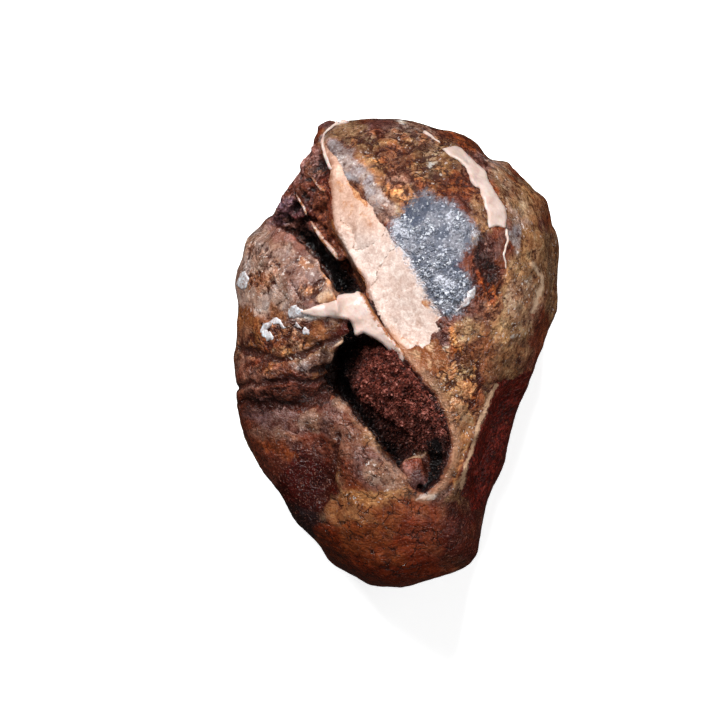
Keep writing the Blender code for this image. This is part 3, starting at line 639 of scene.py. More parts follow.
# %% The patches: x, y, half length, half width, turn in degrees, colour, share
PATCHES = [
    # left lobe, upper face; its grey beige patches on the flat breaks are partly painted sheen
    (-15.6, 11.6, 8.4, 7.0, 0, "tan grey", 0.9), (-19.0, 8.8, 4.0, 3.0, 0, "grey beige", 0.6),
    (-12.6, 11.0, 3.4, 3.6, -30, "mauve grey", 0.3), (-20.4, 15.0, 3.0, 4.0, 0, "grey beige", 0.5),
    (-19.6, 14.0, 1.0, 1.6, 0, "orange brown", 0.5), (-15.6, 17.0, 2.6, 1.4, -20, "pink brown", 0.7),
    (-18.9, 9.8, 1.7, 1.6, 0, "orange brown", 0.9), (-17.4, 7.6, 2.3, 2.0, 20, "grey beige", 1.0),
    (-12.0, 8.2, 1.5, 1.0, 0, "amber", 0.7), (-13.0, 12.8, 1.2, 1.0, 0, "amber", 0.5),
    (-13.2, 10.6, 1.8, 1.8, 0, "mauve grey", 0.4), (-16.8, 13.6, 1.4, 1.2, 0, "cool grey", 0.4),
    (-9.9, 7.6, 1.0, 0.9, 0, "pale tan", 0.9), (-9.0, 7.4, 0.5, 0.8, 0, "honey", 0.9),
    (-10.0, 10.8, 0.6, 2.0, 30, "amber", 0.7), (-13.6, 15.4, 1.0, 1.6, 30, "red brown", 0.7),
    (-16.2, 5.6, 1.5, 1.0, 0, "red brown", 0.6), (-11.8, 6.9, 2.0, 0.7, 0, "mauve grey", 0.8),
    # left lobe, lower face; the near-black bands along the groove at its foot are painted shade
    (-20.8, 3.6, 3.0, 2.8, 0, "honey", 0.85), (-21.6, 0.4, 1.8, 3.6, 0, "warm tan", 0.6),
    (-16.4, 5.4, 1.6, 1.2, 0, "honey", 0.7), (-11.8, 4.9, 2.6, 1.1, 4, "grey beige", 1.0),
    (-11.8, 5.1, 2.2, 0.7, 4, "frosted", 0.8), (-15.4, 2.4, 3.4, 1.5, -10, "orange brown", 0.85),
    (-19.0, 1.7, 1.7, 1.3, 0, "honey", 0.85), (-19.0, -0.7, 1.8, 1.0, 0, "orange brown", 0.9),
    (-10.8, 2.4, 2.6, 1.4, 14, "honey", 0.85), (-12.4, 1.0, 1.6, 0.8, 16, "warm tan", 0.7),
    (-6.9, 2.8, 2.6, 2.9, 0, "lip red", 1.0), (-7.9, 2.0, 0.5, 1.3, 5, "pale tan", 0.9),
    (-17.6, -2.6, 4.6, 2.2, 0, "red brown", 0.85), (-18.8, -3.0, 1.6, 1.2, 0, "warm tan", 0.6),
    (-20.8, -4.0, 1.8, 2.2, 0, "warm tan", 0.6), (-11.4, -1.2, 3.0, 1.4, 14, "tan grey", 0.95),
    (-9.6, -2.4, 2.2, 0.7, 14, "honey", 0.9), (-12.8, -1.8, 1.0, 0.9, 0, "cool grey", 0.7),
    (-17.2, -1.8, 1.2, 0.7, 0, "honey", 0.7), (-13.6, -4.2, 3.6, 1.2, 6, "deep red", 0.8),
    (-15.8, -5.6, 7.6, 1.3, 3, "red brown", 0.8), (-14.0, -6.9, 8.0, 0.55, 3, "near black", 0.95),
    (-9.0, -5.0, 2.4, 0.8, 20, "near black", 0.9),
    # lower left lobe; the first two grey patches across its top are painted sheen,
    # and its ox blood and near-black lower part is partly painted shadow
    (-15.6, -9.3, 5.4, 1.6, -10, "mauve grey", 0.9), (-11.6, -9.4, 2.6, 1.2, -10, "grey tan", 0.8),
    (-18.8, -8.0, 2.0, 1.6, 0, "dark mauve", 0.8), (-8.8, -9.2, 2.2, 2.6, 0, "mauve grey", 0.8),
    (-7.0, -7.0, 1.4, 1.0, 0, "grey tan", 0.6), (-16.0, -11.8, 4.4, 1.2, -14, "warm tan", 0.8),
    (-13.6, -15.2, 5.0, 3.0, -20, "ox blood", 0.95), (-18.0, -15.6, 2.6, 3.4, -20, "red brown", 0.7),
    (-10.8, -12.6, 2.4, 1.6, -30, "red brown", 0.7), (-16.4, -13.2, 3.0, 1.2, -20, "honey dark", 0.7),
    (-12.6, -18.2, 4.8, 3.8, 0, "ox blood", 1.0), (-14.8, -20.4, 3.0, 3.0, 0, "ox blood", 0.8),
    (-13.4, -23.4, 3.8, 2.8, 0, "near black", 1.0),
    # tan shoulder and valley
    (-6.6, -12.2, 2.2, 3.6, 24, "warm tan", 0.85), (-4.0, -14.8, 2.6, 2.4, 30, "mauve grey", 0.7),
    (-1.4, -16.6, 2.8, 1.8, -20, "grey tan", 0.9), (-8.6, -16.0, 0.8, 3.4, 6, "deep red", 0.8),
    (-5.4, -9.4, 1.4, 2.0, 24, "red brown", 0.7),
    # lower lobe; the warm tan and frosted streaks below the stub are a painted highlight,
    # and the deep red and ox blood at its right foot are partly painted shadow
    (-4.4, -22.2, 5.6, 3.6, 10, "honey", 0.85), (-2.4, -19.7, 5.0, 1.2, 6, "amber brown", 0.8),
    (1.6, -22.4, 4.6, 2.6, -10, "honey dark", 0.85), (-5.6, -26.0, 4.6, 2.4, 10, "honey dark", 0.9),
    (5.0, -24.4, 1.8, 1.4, 0, "honey", 0.6), (3.4, -26.2, 5.0, 3.4, 0, "umber", 0.8),
    (-1.0, -30.8, 9.4, 3.2, 0, "umber", 0.95), (-2.0, -27.6, 3.4, 1.8, 0, "honey dark", 0.7),
    (6.0, -23.0, 2.6, 1.8, 0, "umber", 0.6), (9.4, -26.6, 3.4, 4.4, 0, "deep red", 0.8),
    (10.0, -20.6, 3.0, 3.4, -20, "ox blood", 0.85), (8.4, -19.6, 1.0, 1.2, 0, "olive brown", 0.6),
    (-9.2, -26.0, 1.8, 3.6, 20, "umber", 0.8), (5.6, -19.4, 1.6, 0.9, 8, "warm tan", 0.7),
    (4.5, -19.9, 1.1, 0.40, 8, "frosted", 0.95),
    # right strip, ridge and red face
    (5.6, -0.6, 1.9, 1.4, 0, "pale tan", 0.75), (8.2, 1.4, 1.0, 2.2, 20, "orange", 0.85),
    (7.6, -2.6, 2.2, 2.0, -10, "amber", 0.85), (9.4, -4.8, 1.8, 2.6, -10, "olive grey", 0.8),
    (7.8, -8.2, 1.2, 3.4, 0, "amber brown", 0.8), (9.3, -9.6, 1.2, 4.8, -12, "olive grey", 0.75),
    (9.4, -6.6, 0.9, 2.4, -20, "bright honey", 0.8), (8.7, -14.0, 1.0, 4.4, -15, "amber brown", 0.8),
    (10.3, -11.0, 0.7, 3.4, -17, "amber brown", 0.7), (5.6, -18.6, 2.0, 1.0, 0, "warm tan", 0.7),
    (9.6, -3.0, 1.4, 1.8, 0, "amber brown", 0.6), (11.2, -6.2, 1.0, 1.4, 0, "honey dark", 0.8),
    (7.3, -11.6, 0.7, 4.0, 0, "orange brown", 0.7), (11.6, -8.6, 0.5, 2.0, -22, "amber", 0.6),
    (12.9, -12.4, 2.2, 8.2, -16, "deep red", 0.95), (15.4, -6.6, 1.8, 3.4, -16, "near black", 0.8),
    (14.6, -16.0, 1.6, 5.0, -16, "red brown", 0.7),
    # right shoulder
    (12.4, 0.2, 3.4, 3.0, 0, "honey", 0.75), (16.4, 3.4, 3.4, 4.4, 0, "olive brown", 0.6),
    (15.8, 4.4, 2.6, 3.2, 0, "olive grey", 0.85), (15.6, -1.6, 2.4, 2.6, 0, "olive brown", 0.7),
    (17.6, 9.8, 2.6, 5.0, 0, "olive grey", 0.85), (17.4, 18.0, 2.0, 5.0, 10, "olive brown", 0.85),
    (16.4, 16.4, 1.2, 2.2, 0, "cool grey", 0.9), (16.6, 21.6, 5.2, 1.3, -67, "grey beige", 0.8),
    (13.8, 26.6, 2.6, 1.2, -48, "grey beige", 0.8), (18.4, 21.0, 1.8, 3.0, 20, "olive grey", 0.8),
    (18.0, 7.4, 2.4, 3.6, 0, "grey tan", 0.5), (15.4, 23.6, 2.2, 3.4, 30, "olive brown", 0.8),
    (20.6, 21.0, 2.0, 3.4, 20, "honey dark", 0.6), (19.4, 15.2, 1.8, 2.4, 0, "olive grey", 0.7),
    (19.6, 13.2, 1.0, 4.6, 0, "olive brown", 0.7), (21.8, 11.4, 1.4, 7.0, 0, "olive brown", 0.9),
    (10.2, 3.4, 2.4, 2.0, 0, "olive grey", 0.8), (13.4, 6.6, 1.8, 1.6, 0, "orange brown", 0.8),
    (20.0, 2.0, 1.4, 4.4, 0, "umber", 0.7),
    # dome
    (1.0, 25.6, 8.0, 5.0, 0, "amber brown", 0.8), (-6.6, 31.0, 2.6, 1.6, 0, "olive brown", 0.9),
    (-8.0, 28.2, 1.1, 2.2, 40, "cool grey", 0.95), (-5.6, 25.0, 1.4, 3.2, 40, "cool grey", 0.95),
    (-2.8, 21.8, 1.6, 3.0, 40, "cool grey", 0.9), (-4.6, 28.6, 2.2, 1.2, 0, "olive brown", 0.8),
    (-1.6, 19.8, 1.8, 1.1, -50, "tan grey", 0.8), (1.4, 31.4, 3.6, 1.3, 0, "grey tan", 0.8),
    (-2.4, 32.2, 2.4, 0.9, 0, "dark mauve", 0.8), (0.0, 27.4, 2.6, 1.6, 0, "red brown", 0.7),
    (4.0, 28.4, 2.0, 1.8, 0, "dark mauve", 0.6), (0.6, 24.4, 2.4, 1.3, -10, "pink brown", 0.6),
    (3.2, 23.6, 1.6, 0.9, 0, "red brown", 0.7), (0.6, 22.2, 1.6, 1.0, -30, "amber", 0.6),
    (5.6, 26.6, 3.0, 1.8, 0, "olive brown", 0.8), (8.0, 23.4, 2.4, 1.8, 0, "honey dark", 0.85),
    (11.4, 20.8, 1.2, 2.6, 20, "olive brown", 0.8), (12.4, 17.2, 1.2, 1.4, 0, "olive brown", 0.9),
    (11.6, 13.8, 1.1, 1.6, 0, "near black", 0.8), (12.9, 10.4, 1.4, 3.2, 8, "honey dark", 0.9),
    (12.5, 13.4, 1.3, 3.0, 14, "near black", 1.0), (13.2, 10.8, 0.9, 1.6, 20, "near black", 0.9),
    (0.8, 31.9, 0.40, 0.34, 0, "frosted", 0.9), (4.9, 26.5, 0.36, 0.30, 0, "frosted", 0.8),
    (16.5, 1.9, 0.46, 0.34, 0, "frosted", 0.8), (12.2, 8.4, 1.6, 1.4, 0, "honey dark", 0.8),
    (13.4, 15.0, 1.4, 1.4, 0, "mauve grey", 0.6), (10.4, 29.6, 3.2, 1.2, -25, "honey dark", 0.8),
    (17.4, 26.0, 2.0, 1.6, -40, "honey dark", 0.6),
    # stub
    (2.3, -15.4, 2.2, 2.0, 0, "red brown", 1.0), (2.0, -13.5, 2.2, 0.85, -4, "pale tan", 1.0),
    (1.2, -15.2, 0.8, 1.2, 0, "pink brown", 0.7), (2.6, -17.4, 1.6, 1.2, 0, "dark mauve", 0.9),
    # gash; the near-black band in its gap is painted shade, and the orange one on the top
    # of its right wall is painted light
    (-13.4, 25.0, 5.0, 6.0, 0, "deep red", 0.8), (-12.4, 27.4, 1.3, 2.8, -30, "pink brown", 0.95),
    (-10.2, 32.6, 2.2, 1.8, 0, "dark mauve", 1.0), (-15.0, 22.6, 2.2, 1.2, 40, "red brown", 0.7),
    (-13.0, 25.0, 0.8, 1.8, -40, "pink brown", 0.7), (-15.2, 20.0, 2.6, 1.6, 20, "purple", 1.0),
    (-11.0, 20.8, 1.0, 1.8, 20, "purple", 0.6), (-11.2, 22.0, 1.2, 3.0, 20, "red brown", 0.6),
    (-13.2, 18.4, 2.0, 1.6, 0, "deep red", 0.8), (-10.6, 14.2, 1.1, 5.0, 33, "near black", 0.9),
    (-8.2, 15.4, 0.9, 4.0, 35, "orange", 0.9),
    # fringe over the cream layer's border
    (-5.2, 10.6, 1.3, 2.2, 35, "red brown", 0.9), (-4.8, 10.2, 0.5, 0.8, 35, "amber", 0.8),
    (-6.2, 11.8, 0.4, 0.6, 35, "amber", 0.6),
]
print(len(PATCHES), "patches of", len(PALETTE), "colours")

# %% Lay the patches over one another
BACK_TONES = ("honey dark", "olive brown", "mauve grey", "red brown")

tone = field(points, 8.0, 4, 40.0)
other_tone = field(points, 5.0, 4, 50.0)
first, second, third, last = (np.array(PALETTE[name]) for name in BACK_TONES)
colour = first + (second - first) * smoothstep(-0.1, 0.4, tone)[:, None]
colour += (third - colour) * (0.7 * smoothstep(0.0, 0.5, other_tone))[:, None]
colour += (last - colour) * (0.8 * smoothstep(0.0, 0.4, -tone - other_tone))[:, None]
colour = lay(colour, PATCHES, PALETTE, plan + bend, up)

# %% Rust on the cream layer
RUST = [
    (-5.4, 22.2, 2.2, 0.55, -52, "rust", 1.6), (-8.0, 23.4, 1.4, 0.8, -60, "rust", 0.6),
    (-6.8, 20.2, 1.0, 1.6, 0, "rust", 0.45), (-4.2, 18.6, 1.4, 0.8, -50, "rust", 0.5),
    (-7.4, 17.6, 0.8, 1.4, 0, "rust", 0.4), (4.0, 7.2, 0.7, 0.8, 0, "rust", 0.85),
    (0.2, 8.1, 0.4, 0.4, 0, "rust", 0.7), (5.4, 4.6, 0.7, 1.0, 0, "rust", 0.5),
    (2.0, 1.6, 2.0, 0.5, -10, "rust", 0.6), (-5.9, 10.9, 0.9, 1.5, -30, "rust", 0.9),
    (-8.7, 27.2, 0.7, 1.6, 0, "rust", 0.15),
]
rust = lay(np.zeros((len(points), 1)), RUST, {"rust": (1.0,)}, plan + 0.4 * bend, 1.0)[:, 0]

# %% Frost on the quartz
FROST = [
    (0.6, 17.6, 1.9, 1.1, -30, "frost", 1.0), (6.4, 9.6, 1.6, 1.4, 0, "frost", 0.65),
    (10.8, 16.8, 0.7, 0.6, 0, "frost", 1.0), (3.4, 13.0, 1.4, 1.2, 0, "smoke", 0.4),
    (8.2, 18.4, 1.4, 1.4, 0, "frost", 0.4), (2.2, 12.6, 1.0, 1.8, 30, "frost", 0.4),
    (2.4, 20.0, 2.0, 2.4, -20, "smoke", 1.0), (1.4, 12.8, 5.2, 0.8, -59, "frost", 0.75),
    (5.2, 8.6, 1.2, 1.6, 30, "smoke", 0.6), (8.6, 12.2, 1.2, 1.2, 0, "smoke", 0.6),
]
clear = np.zeros((len(points), 1))
frost = lay(clear, FROST, {"frost": (1.0,), "smoke": (-1.0,)}, plan + 0.5 * bend, 1.0)[:, 0]

# %% Painted shade under the hollow's left rim and at its foot
DARK_GAP = [(5.2, -12.2), (5.4, -14.6), (4.8, -16.6), (3.6, -18.0)]  # right of the stub


def hollow_shade(points):
    """Painted shade: 1 where the hollow runs in under its left rim, and in the gap beside the stub."""
    to_left = to_path(points[:, :2], HOLLOW_LEFT)
    reach = 1.5 + 2.7 * smoothstep(-8.0, -1.0, points[:, 1])
    gap = to_path(points[:, :2], DARK_GAP)
    return np.maximum(smoothstep(reach, 0.3 * reach, to_left), smoothstep(1.6, 0.5, gap))


# %% Painted light at the gash's wall top, the hollow's right rim, and where the red face ends
to_rim = to_path(points[:, :2], HOLLOW_RIGHT[3:9])
reach = 1.0 + 1.5 * smoothstep(10.5, 15.5, points[:, 1])
lit_wall = smoothstep(1.15 * reach, 0.8 * reach, to_rim) * smoothstep(8.0, 10.0, points[:, 1])

rim = smoothstep(6.0, 2.0, plan[:, 1]) * smoothstep(EQUATOR, EQUATOR + 3.0, points[:, 2])
rim *= (1 - near_lip) * smoothstep(-0.2, -0.9, inside(plan, STUB))

face_height = points[:, 2] + wander[:, 0]
red_face = border["red face"] + 0.5 * wander[:, 0]
red_face -= 5.0 * smoothstep(EQUATOR + 3.0, EQUATOR - 8.0, face_height)
below = 3.0 * smoothstep(EQUATOR - 1.0, EQUATOR - 6.0, points[:, 2])

# %% Keep the marks on the mesh
FAR = 2.0  # mm: past this, a distance to a line makes no difference
MARKS = {
    "cream": np.minimum(border["cream"], FAR),
    "toe": border["toe"],
    "quartz": border["quartz"],
    "red face": red_face,
    "hollow": hollow,
    "crack": np.minimum(crack, FAR),
    "scratch": np.minimum(scratch, FAR),
    "rust": rust,
    "frost": frost,
    "ridge": np.minimum(to_path(plan + 0.15 * wander, RIDGE) + below, FAR),
    "dome edge": np.minimum(to_path(plan + 0.25 * wander, DOME_EDGE) + below, FAR),
    "crevice": crevice,
    "fold": np.minimum(fold, FAR),
    "rugged": rugged,
    "cracked": cracked,
    "streaked": streaked,
    "up": up,
    "hollow_shade": hollow_shade(points),
    "lit wall": lit_wall,
    "rim": rim,
}


def keep_marks(item, marks, colour):
    for name, values in marks.items():
        write_mark(item, name, values)
    layer = item.data.attributes.new("tint", "FLOAT_COLOR", "POINT")
    alpha = np.ones((len(colour), 1))
    rgba = np.hstack([np.clip(colour, 0.0, 1.0), alpha]).astype(np.float32)
    layer.data.foreach_set("color", rgba.ravel())


keep_marks(nodule, MARKS, colour)

# %% [markdown]
# ## Building materials in code
#
# A material is a graph of nodes. These helpers keep each step of the graph on one line:
# `add` makes a node, and the others give back the socket that the next step reads. All
# patterns read the object's own coordinates, in millimetres, so they stay on the stone.

# %% Node helpers


def feed(tree, values, sockets):
    """Link each input to a socket, or set it to a plain value."""
    for key, value in values.items():
        if isinstance(value, bpy.types.NodeSocket):
            tree.links.new(value, sockets[key])
        else:
            sockets[key].default_value = value


def add(tree, kind, inputs=None, **settings):
    made = tree.nodes.new(kind)
    for key, value in settings.items():
        setattr(made, key, value)
    feed(tree, inputs or {}, made.inputs)
    return made


def calc(tree, operation, first, second=0.0):
    return add(tree, "ShaderNodeMath", {0: first, 1: second}, operation=operation).outputs[0]


def step(tree, value, low, high, start=0.0, end=1.0):
    """A smooth step of a value from low to high, mapped to start and end."""
    inputs = {"Value": value, "From Min": low, "From Max": high, "To Min": start, "To Max": end}
    made = add(tree, "ShaderNodeMapRange", inputs, interpolation_type="SMOOTHSTEP")
    return made.outputs["Result"]


def blend(tree, share, first, second, mode="MIX"):
    made = add(tree, "ShaderNodeMix", data_type="RGBA", blend_type=mode)
    feed(tree, {0: share, 6: first, 7: second}, made.inputs)
    return made.outputs[2]


def vector(tree, operation, first, second=(0.0, 0.0, 0.0)):
    return add(tree, "ShaderNodeVectorMath", {0: first, 1: second}, operation=operation).outputs[0]


def place(tree):
    """The object's own coordinates, in millimetres."""
    spot = add(tree, "ShaderNodeTexCoord").outputs["Object"]
    return vector(tree, "MULTIPLY", spot, (1 / MM,) * 3)


def axes(tree, spot):
    """A place's x, y and z."""
    return add(tree, "ShaderNodeSeparateXYZ", {0: spot}).outputs


def channels(tree, colour):
    """A colour's red, green and blue."""
    return add(tree, "ShaderNodeSeparateColor", {0: colour}).outputs


def clouds(tree, where, span, detail=4.0, roughness=0.6, distortion=0.0):
    inputs = {
        "Vector": where, "Scale": 1.0 / span, "Detail": detail, "Roughness": roughness,
        "Distortion": distortion,
    }
    return add(tree, "ShaderNodeTexNoise", inputs).outputs["Fac"]


def warped(tree, where, span, amount):
    """The same place pushed about by noise, in millimetres."""
    inputs = {"Vector": where, "Scale": 1.0 / span, "Detail": 3.0}
    push = add(tree, "ShaderNodeTexNoise", inputs).outputs["Color"]
    push = vector(tree, "SUBTRACT", push, (0.5,) * 3)
    return vector(tree, "ADD", where, vector(tree, "MULTIPLY", push, (amount,) * 3))


def streaks(tree, where, degrees, long, wide):
    """Noise drawn out along a direction in the plan."""
    turned = add(tree, "ShaderNodeMapping", {
        "Vector": where, "Rotation": (0, 0, -math.radians(degrees)),
        "Scale": (1 / long, 1 / wide, 1 / wide),
    }, vector_type="POINT")
    return clouds(tree, turned.outputs[0], 1.0, 4.0, 0.62)


def crystals(tree, where, span, feature="F1"):
    inputs = {"Vector": where, "Scale": 1.0 / span}
    return add(tree, "ShaderNodeTexVoronoi", inputs, feature=feature)


def mark(tree, name, kind="Fac"):
    return add(tree, "ShaderNodeAttribute", attribute_name=name).outputs[kind]


def bumped(tree, height, strength=1.0, **inputs):
    """The normal of a relief whose heights are in millimetres."""
    inputs = {"Height": height, "Distance": MM, "Strength": strength, **inputs}
    return add(tree, "ShaderNodeBump", inputs).outputs["Normal"]


def new_material(name, **values):
    """A Principled material with plain values set on its own sockets."""
    material = bpy.data.materials.new(name)
    material.use_nodes = True
    shader = material.node_tree.nodes["Principled BSDF"]
    for key, value in values.items():
        shader.inputs[key.replace("_", " ")].default_value = value
    return material, material.node_tree, shader


def new_group(name, inputs, outputs):
    tree = bpy.data.node_groups.new(name, "ShaderNodeTree")
    for socket, (kind, value) in inputs.items():
        made = tree.interface.new_socket(socket, in_out="INPUT", socket_type=kind)
        made.default_value = value
    for socket, kind in outputs.items():
        tree.interface.new_socket(socket, in_out="OUTPUT", socket_type=kind)
    return tree, add(tree, "NodeGroupInput").outputs, add(tree, "NodeGroupOutput").inputs


def use_group(tree, group, inputs):
    made = add(tree, "ShaderNodeGroup", node_tree=group)
    feed(tree, inputs, made.inputs)
    return made.outputs


# %% [markdown]
# ## Effects that several minerals share
#
# ** Mottle** darkens and reddens a colour in cloudy blotches, as iron stain does, and in the
# valleys, partly as stain and partly as painted shade; on edges it lightens the colour,
# partly as wear and partly as painted highlight. **Glints** picks a small share of tiny
# crystal faces: it gives their mask and tilts the normal of each face its own way, so that
# they flash as the light moves; a material that paints the mask paler makes painted glints.
# Both are node groups, built once and given other values in each material.

# %% The mottle group
FLOAT, COLOUR, VECTOR = "NodeSocketFloat", "NodeSocketColor", "NodeSocketVector"

mottle, given, made = new_group(
    "mottle",
    {
        "Colour": (COLOUR, (0.5, 0.5, 0.5, 1)), "Stain And Shade": (COLOUR, (0.1, 0.03, 0.02, 1)),
        "Span": (FLOAT, 1.2), "Contrast": (FLOAT, 0.6), "Crevice": (FLOAT, 0.0),
    },
    {"Colour": COLOUR, "Swing": FLOAT},
)
spot = place(mottle)
size = calc(mottle, "DIVIDE", 1.0, given["Span"])
wide = add(mottle, "ShaderNodeTexNoise", {
    "Vector": spot, "Scale": size, "Detail": 7.0, "Roughness": 0.68, "Distortion": 0.5,
}).outputs["Fac"]
fine = clouds(mottle, spot, 0.34, 3.0, 0.7)
both = calc(mottle, "MULTIPLY", wide, 0.60)
both = calc(mottle, "ADD", both, calc(mottle, "MULTIPLY", fine, 0.40))
swing = calc(mottle, "MULTIPLY", calc(mottle, "SUBTRACT", both, 0.5), 14.0)
swing = calc(mottle, "MAXIMUM", calc(mottle, "MINIMUM", swing, 1.8), -2.2)
doubling = calc(mottle, "MULTIPLY", swing, given["Contrast"])
light = add(mottle, "ShaderNodeCombineColor", {
    name: calc(mottle, "POWER", 2.0, calc(mottle, "MULTIPLY", doubling, rate))
    for name, rate in (("Red", 0.80), ("Green", 1.18), ("Blue", 1.32))
})
lit = blend(mottle, 1.0, given["Colour"], light.outputs[0], "MULTIPLY")
low = calc(mottle, "ADD", given["Crevice"], calc(mottle, "MULTIPLY", swing, -0.14))
# Darker in the valleys: partly stain, partly painted shade
stain_and_shade = blend(mottle, step(mottle, low, 0.10, 0.85, 0.0, 0.9), lit, given["Stain And Shade"])
# Paler on the edges: partly wear, partly painted highlight
wear_and_highlight = blend(mottle, step(mottle, low, -0.30, -1.10), stain_and_shade, (1.45, 1.40, 1.35, 1), "MULTIPLY")
mottle.links.new(wear_and_highlight, made["Colour"])
mottle.links.new(swing, made["Swing"])

# %% The glint group
glints, given, made = new_group(
    "glints",
    {"Span": (FLOAT, 0.3), "Share": (FLOAT, 0.08), "Tilt": (FLOAT, 0.5)},
    {"Mask": FLOAT, "Normal": VECTOR},
)
spot = place(glints)
size = calc(glints, "DIVIDE", 1.0, given["Span"])
faces = add(glints, "ShaderNodeTexVoronoi", {"Vector": spot, "Scale": size}).outputs
limit = calc(glints, "SUBTRACT", 1.0, given["Share"])
chosen = calc(glints, "GREATER_THAN", channels(glints, faces["Color"])[0], limit)
core = step(glints, faces["Distance"], 0.55, 0.30)
glints.links.new(calc(glints, "MULTIPLY", chosen, core), made["Mask"])
centred = vector(glints, "SUBTRACT", faces["Color"], (0.5,) * 3)
amount = calc(glints, "ADD", calc(glints, "MULTIPLY", chosen, 0.7), 0.3)
amount = calc(glints, "MULTIPLY", given["Tilt"], amount)
lean = {0: centred, "Scale": amount}
tilted = add(glints, "ShaderNodeVectorMath", lean, operation="SCALE").outputs[0]
upright = add(glints, "ShaderNodeNewGeometry").outputs["Normal"]
leaning = vector(glints, "ADD", upright, tilted)
glints.links.new(vector(glints, "NORMALIZE", leaning), made["Normal"])

# %% [markdown]
# ## The stone's material
#
# One material covers the whole lump, because its minerals grew together and share their
# borders. It starts from the painted rind and lays each mineral over it: the mark gives
# the distance to the border, noise makes it ragged, and a narrow step cuts it. Separate
# materials on faces would leave stairs along every border.

# %% Arithmetic on the tree that is being built
def times(first, second):
    return calc(tree, "MULTIPLY", first, second)


def plus(first, second):
    return calc(tree, "ADD", first, second)


def less(first, second):
    return calc(tree, "SUBTRACT", first, second)


def rest(share):
    """What a share leaves of the whole."""
    return less(1.0, share)


def larger(first, second):
    return calc(tree, "MAXIMUM", first, second)


def cloudy(span, detail, roughness, low, high, first, second):
    """One colour drifting into another, in clouds of that many millimetres."""
    share = step(tree, clouds(tree, spot, span, detail, roughness), low, high)
    return blend(tree, share, first, second)


# %% Start the stone's material
stone, tree, shader = new_material(
    "baryte_stone", Roughness=0.25, Specular_IOR_Level=0.36, Coat_Weight=0.0,
)
spot = place(tree)
along_x, along_y, along_z = axes(tree, spot)
tint = mark(tree, "tint", "Color")
rag = less(clouds(tree, spot, 0.55, 3.0, 0.7), 0.5)


def ragged_mark(name, amount):
    """A mark with noise of that many millimetres added."""
    return plus(mark(tree, name), times(rag, amount))


def cut(name, amount=0.5, softness=0.05, offset=0.0):
    """1 inside a marked border, made ragged by noise of that many millimetres."""
    return step(tree, plus(ragged_mark(name, amount), offset), -softness, softness)


def squiggles(span, twist):
    """1 along wandering lines, as wax shrinks, and 0 between them."""
    waves = clouds(tree, spot, span, 2.0, 0.5, twist)
    return step(tree, calc(tree, "ABSOLUTE", less(waves, 0.5)), 0.085, 0.0)


# %% Lines in the rind: furrows, gaps between clumps, hairline cracks, streaks
crevice_mark = mark(tree, "crevice")
rugged_mark = mark(tree, "rugged")
cracked_mark = mark(tree, "cracked")
streaked_mark = mark(tree, "streaked")
furrow = times(squiggles(1.9, 0.9), plus(0.20, times(rugged_mark, 0.80)))
wrinkle = times(squiggles(0.80, 0.7), plus(0.22, times(rugged_mark, 0.78)))
clump = crystals(tree, warped(tree, spot, 0.9, 1.3), 1.35, "DISTANCE_TO_EDGE").outputs["Distance"]
gap = times(step(tree, clump, 0.13, 0.0), rugged_mark)
hair = crystals(tree, warped(tree, spot, 1.4, 2.4), 2.3, "DISTANCE_TO_EDGE").outputs["Distance"]
broken = step(tree, clouds(tree, spot, 1.8, 3.0), 0.46, 0.56)
hairline = times(times(step(tree, hair, 0.055, 0.015), cracked_mark), broken)
side = step(tree, along_x, 0.0, 6.0)
left_streaks = streaks(tree, spot, -24, 3.2, 0.55)
right_streaks = streaks(tree, spot, 72, 3.2, 0.42)
streak = plus(times(left_streaks, rest(side)), times(right_streaks, side))
streak = times(less(streak, 0.5), streaked_mark)
fold_line = times(step(tree, ragged_mark("fold", 1.0), 0.75, 0.10), mark(tree, "up"))

# %% The rind
tint_green = channels(tree, tint)[1]
darker = step(tree, tint_green, 0.30, 0.10, 0.40, 1.0)  # lines show less in the pale parts
bent_spot = warped(tree, spot, 0.9, 1.3)
grit = channels(tree, crystals(tree, bent_spot, 0.8).outputs["Color"])[0]
grit = times(less(grit, 0.5), rugged_mark)
# Valleys, gaps and lines that the mottle darkens: partly stain, partly painted shade
hollows = plus(crevice_mark, times(gap, 0.35))
hollows = plus(hollows, times(darker, plus(times(furrow, 0.75), times(wrinkle, 0.32))))
for line, depth in ((grit, -0.50), (streak, -2.2), (fold_line, 0.9)):
    hollows = plus(hollows, times(line, depth))
grown = channels(tree, crystals(tree, warped(tree, spot, 1.1, 1.5), 1.7).outputs["Color"])
patchy = plus(0.30, times(rugged_mark, 0.70))
hue = blend(tree, grown[1], (1.18, 0.96, 0.72, 1), (0.88, 1.02, 1.16, 1))
hue = blend(tree, patchy, (1, 1, 1, 1), hue)
shade = calc(tree, "POWER", 2.0, times(times(less(grown[0], 0.5), patchy), 1.5))
grown_tint = vector(tree, "MULTIPLY", blend(tree, 1.0, tint, hue, "MULTIPLY"), shade)
rind = use_group(tree, mottle, {
    "Colour": grown_tint, "Stain And Shade": (0.040, 0.0065, 0.0035, 1), "Span": 1.5,
    "Contrast": times(plus(0.42, times(rugged_mark, 0.50)), plus(0.35, times(darker, 0.65))),
    "Crevice": hollows,
})
rind = blend(tree, times(hairline, 0.85), rind["Colour"], (0.022, 0.005, 0.003, 1))
very_rugged = times(rugged_mark, rugged_mark)
rind_glint = use_group(tree, glints, {
    "Span": 0.32, "Share": plus(0.004, times(very_rugged, 0.060)),
    "Tilt": plus(0.01, times(very_rugged, 0.60)),
})
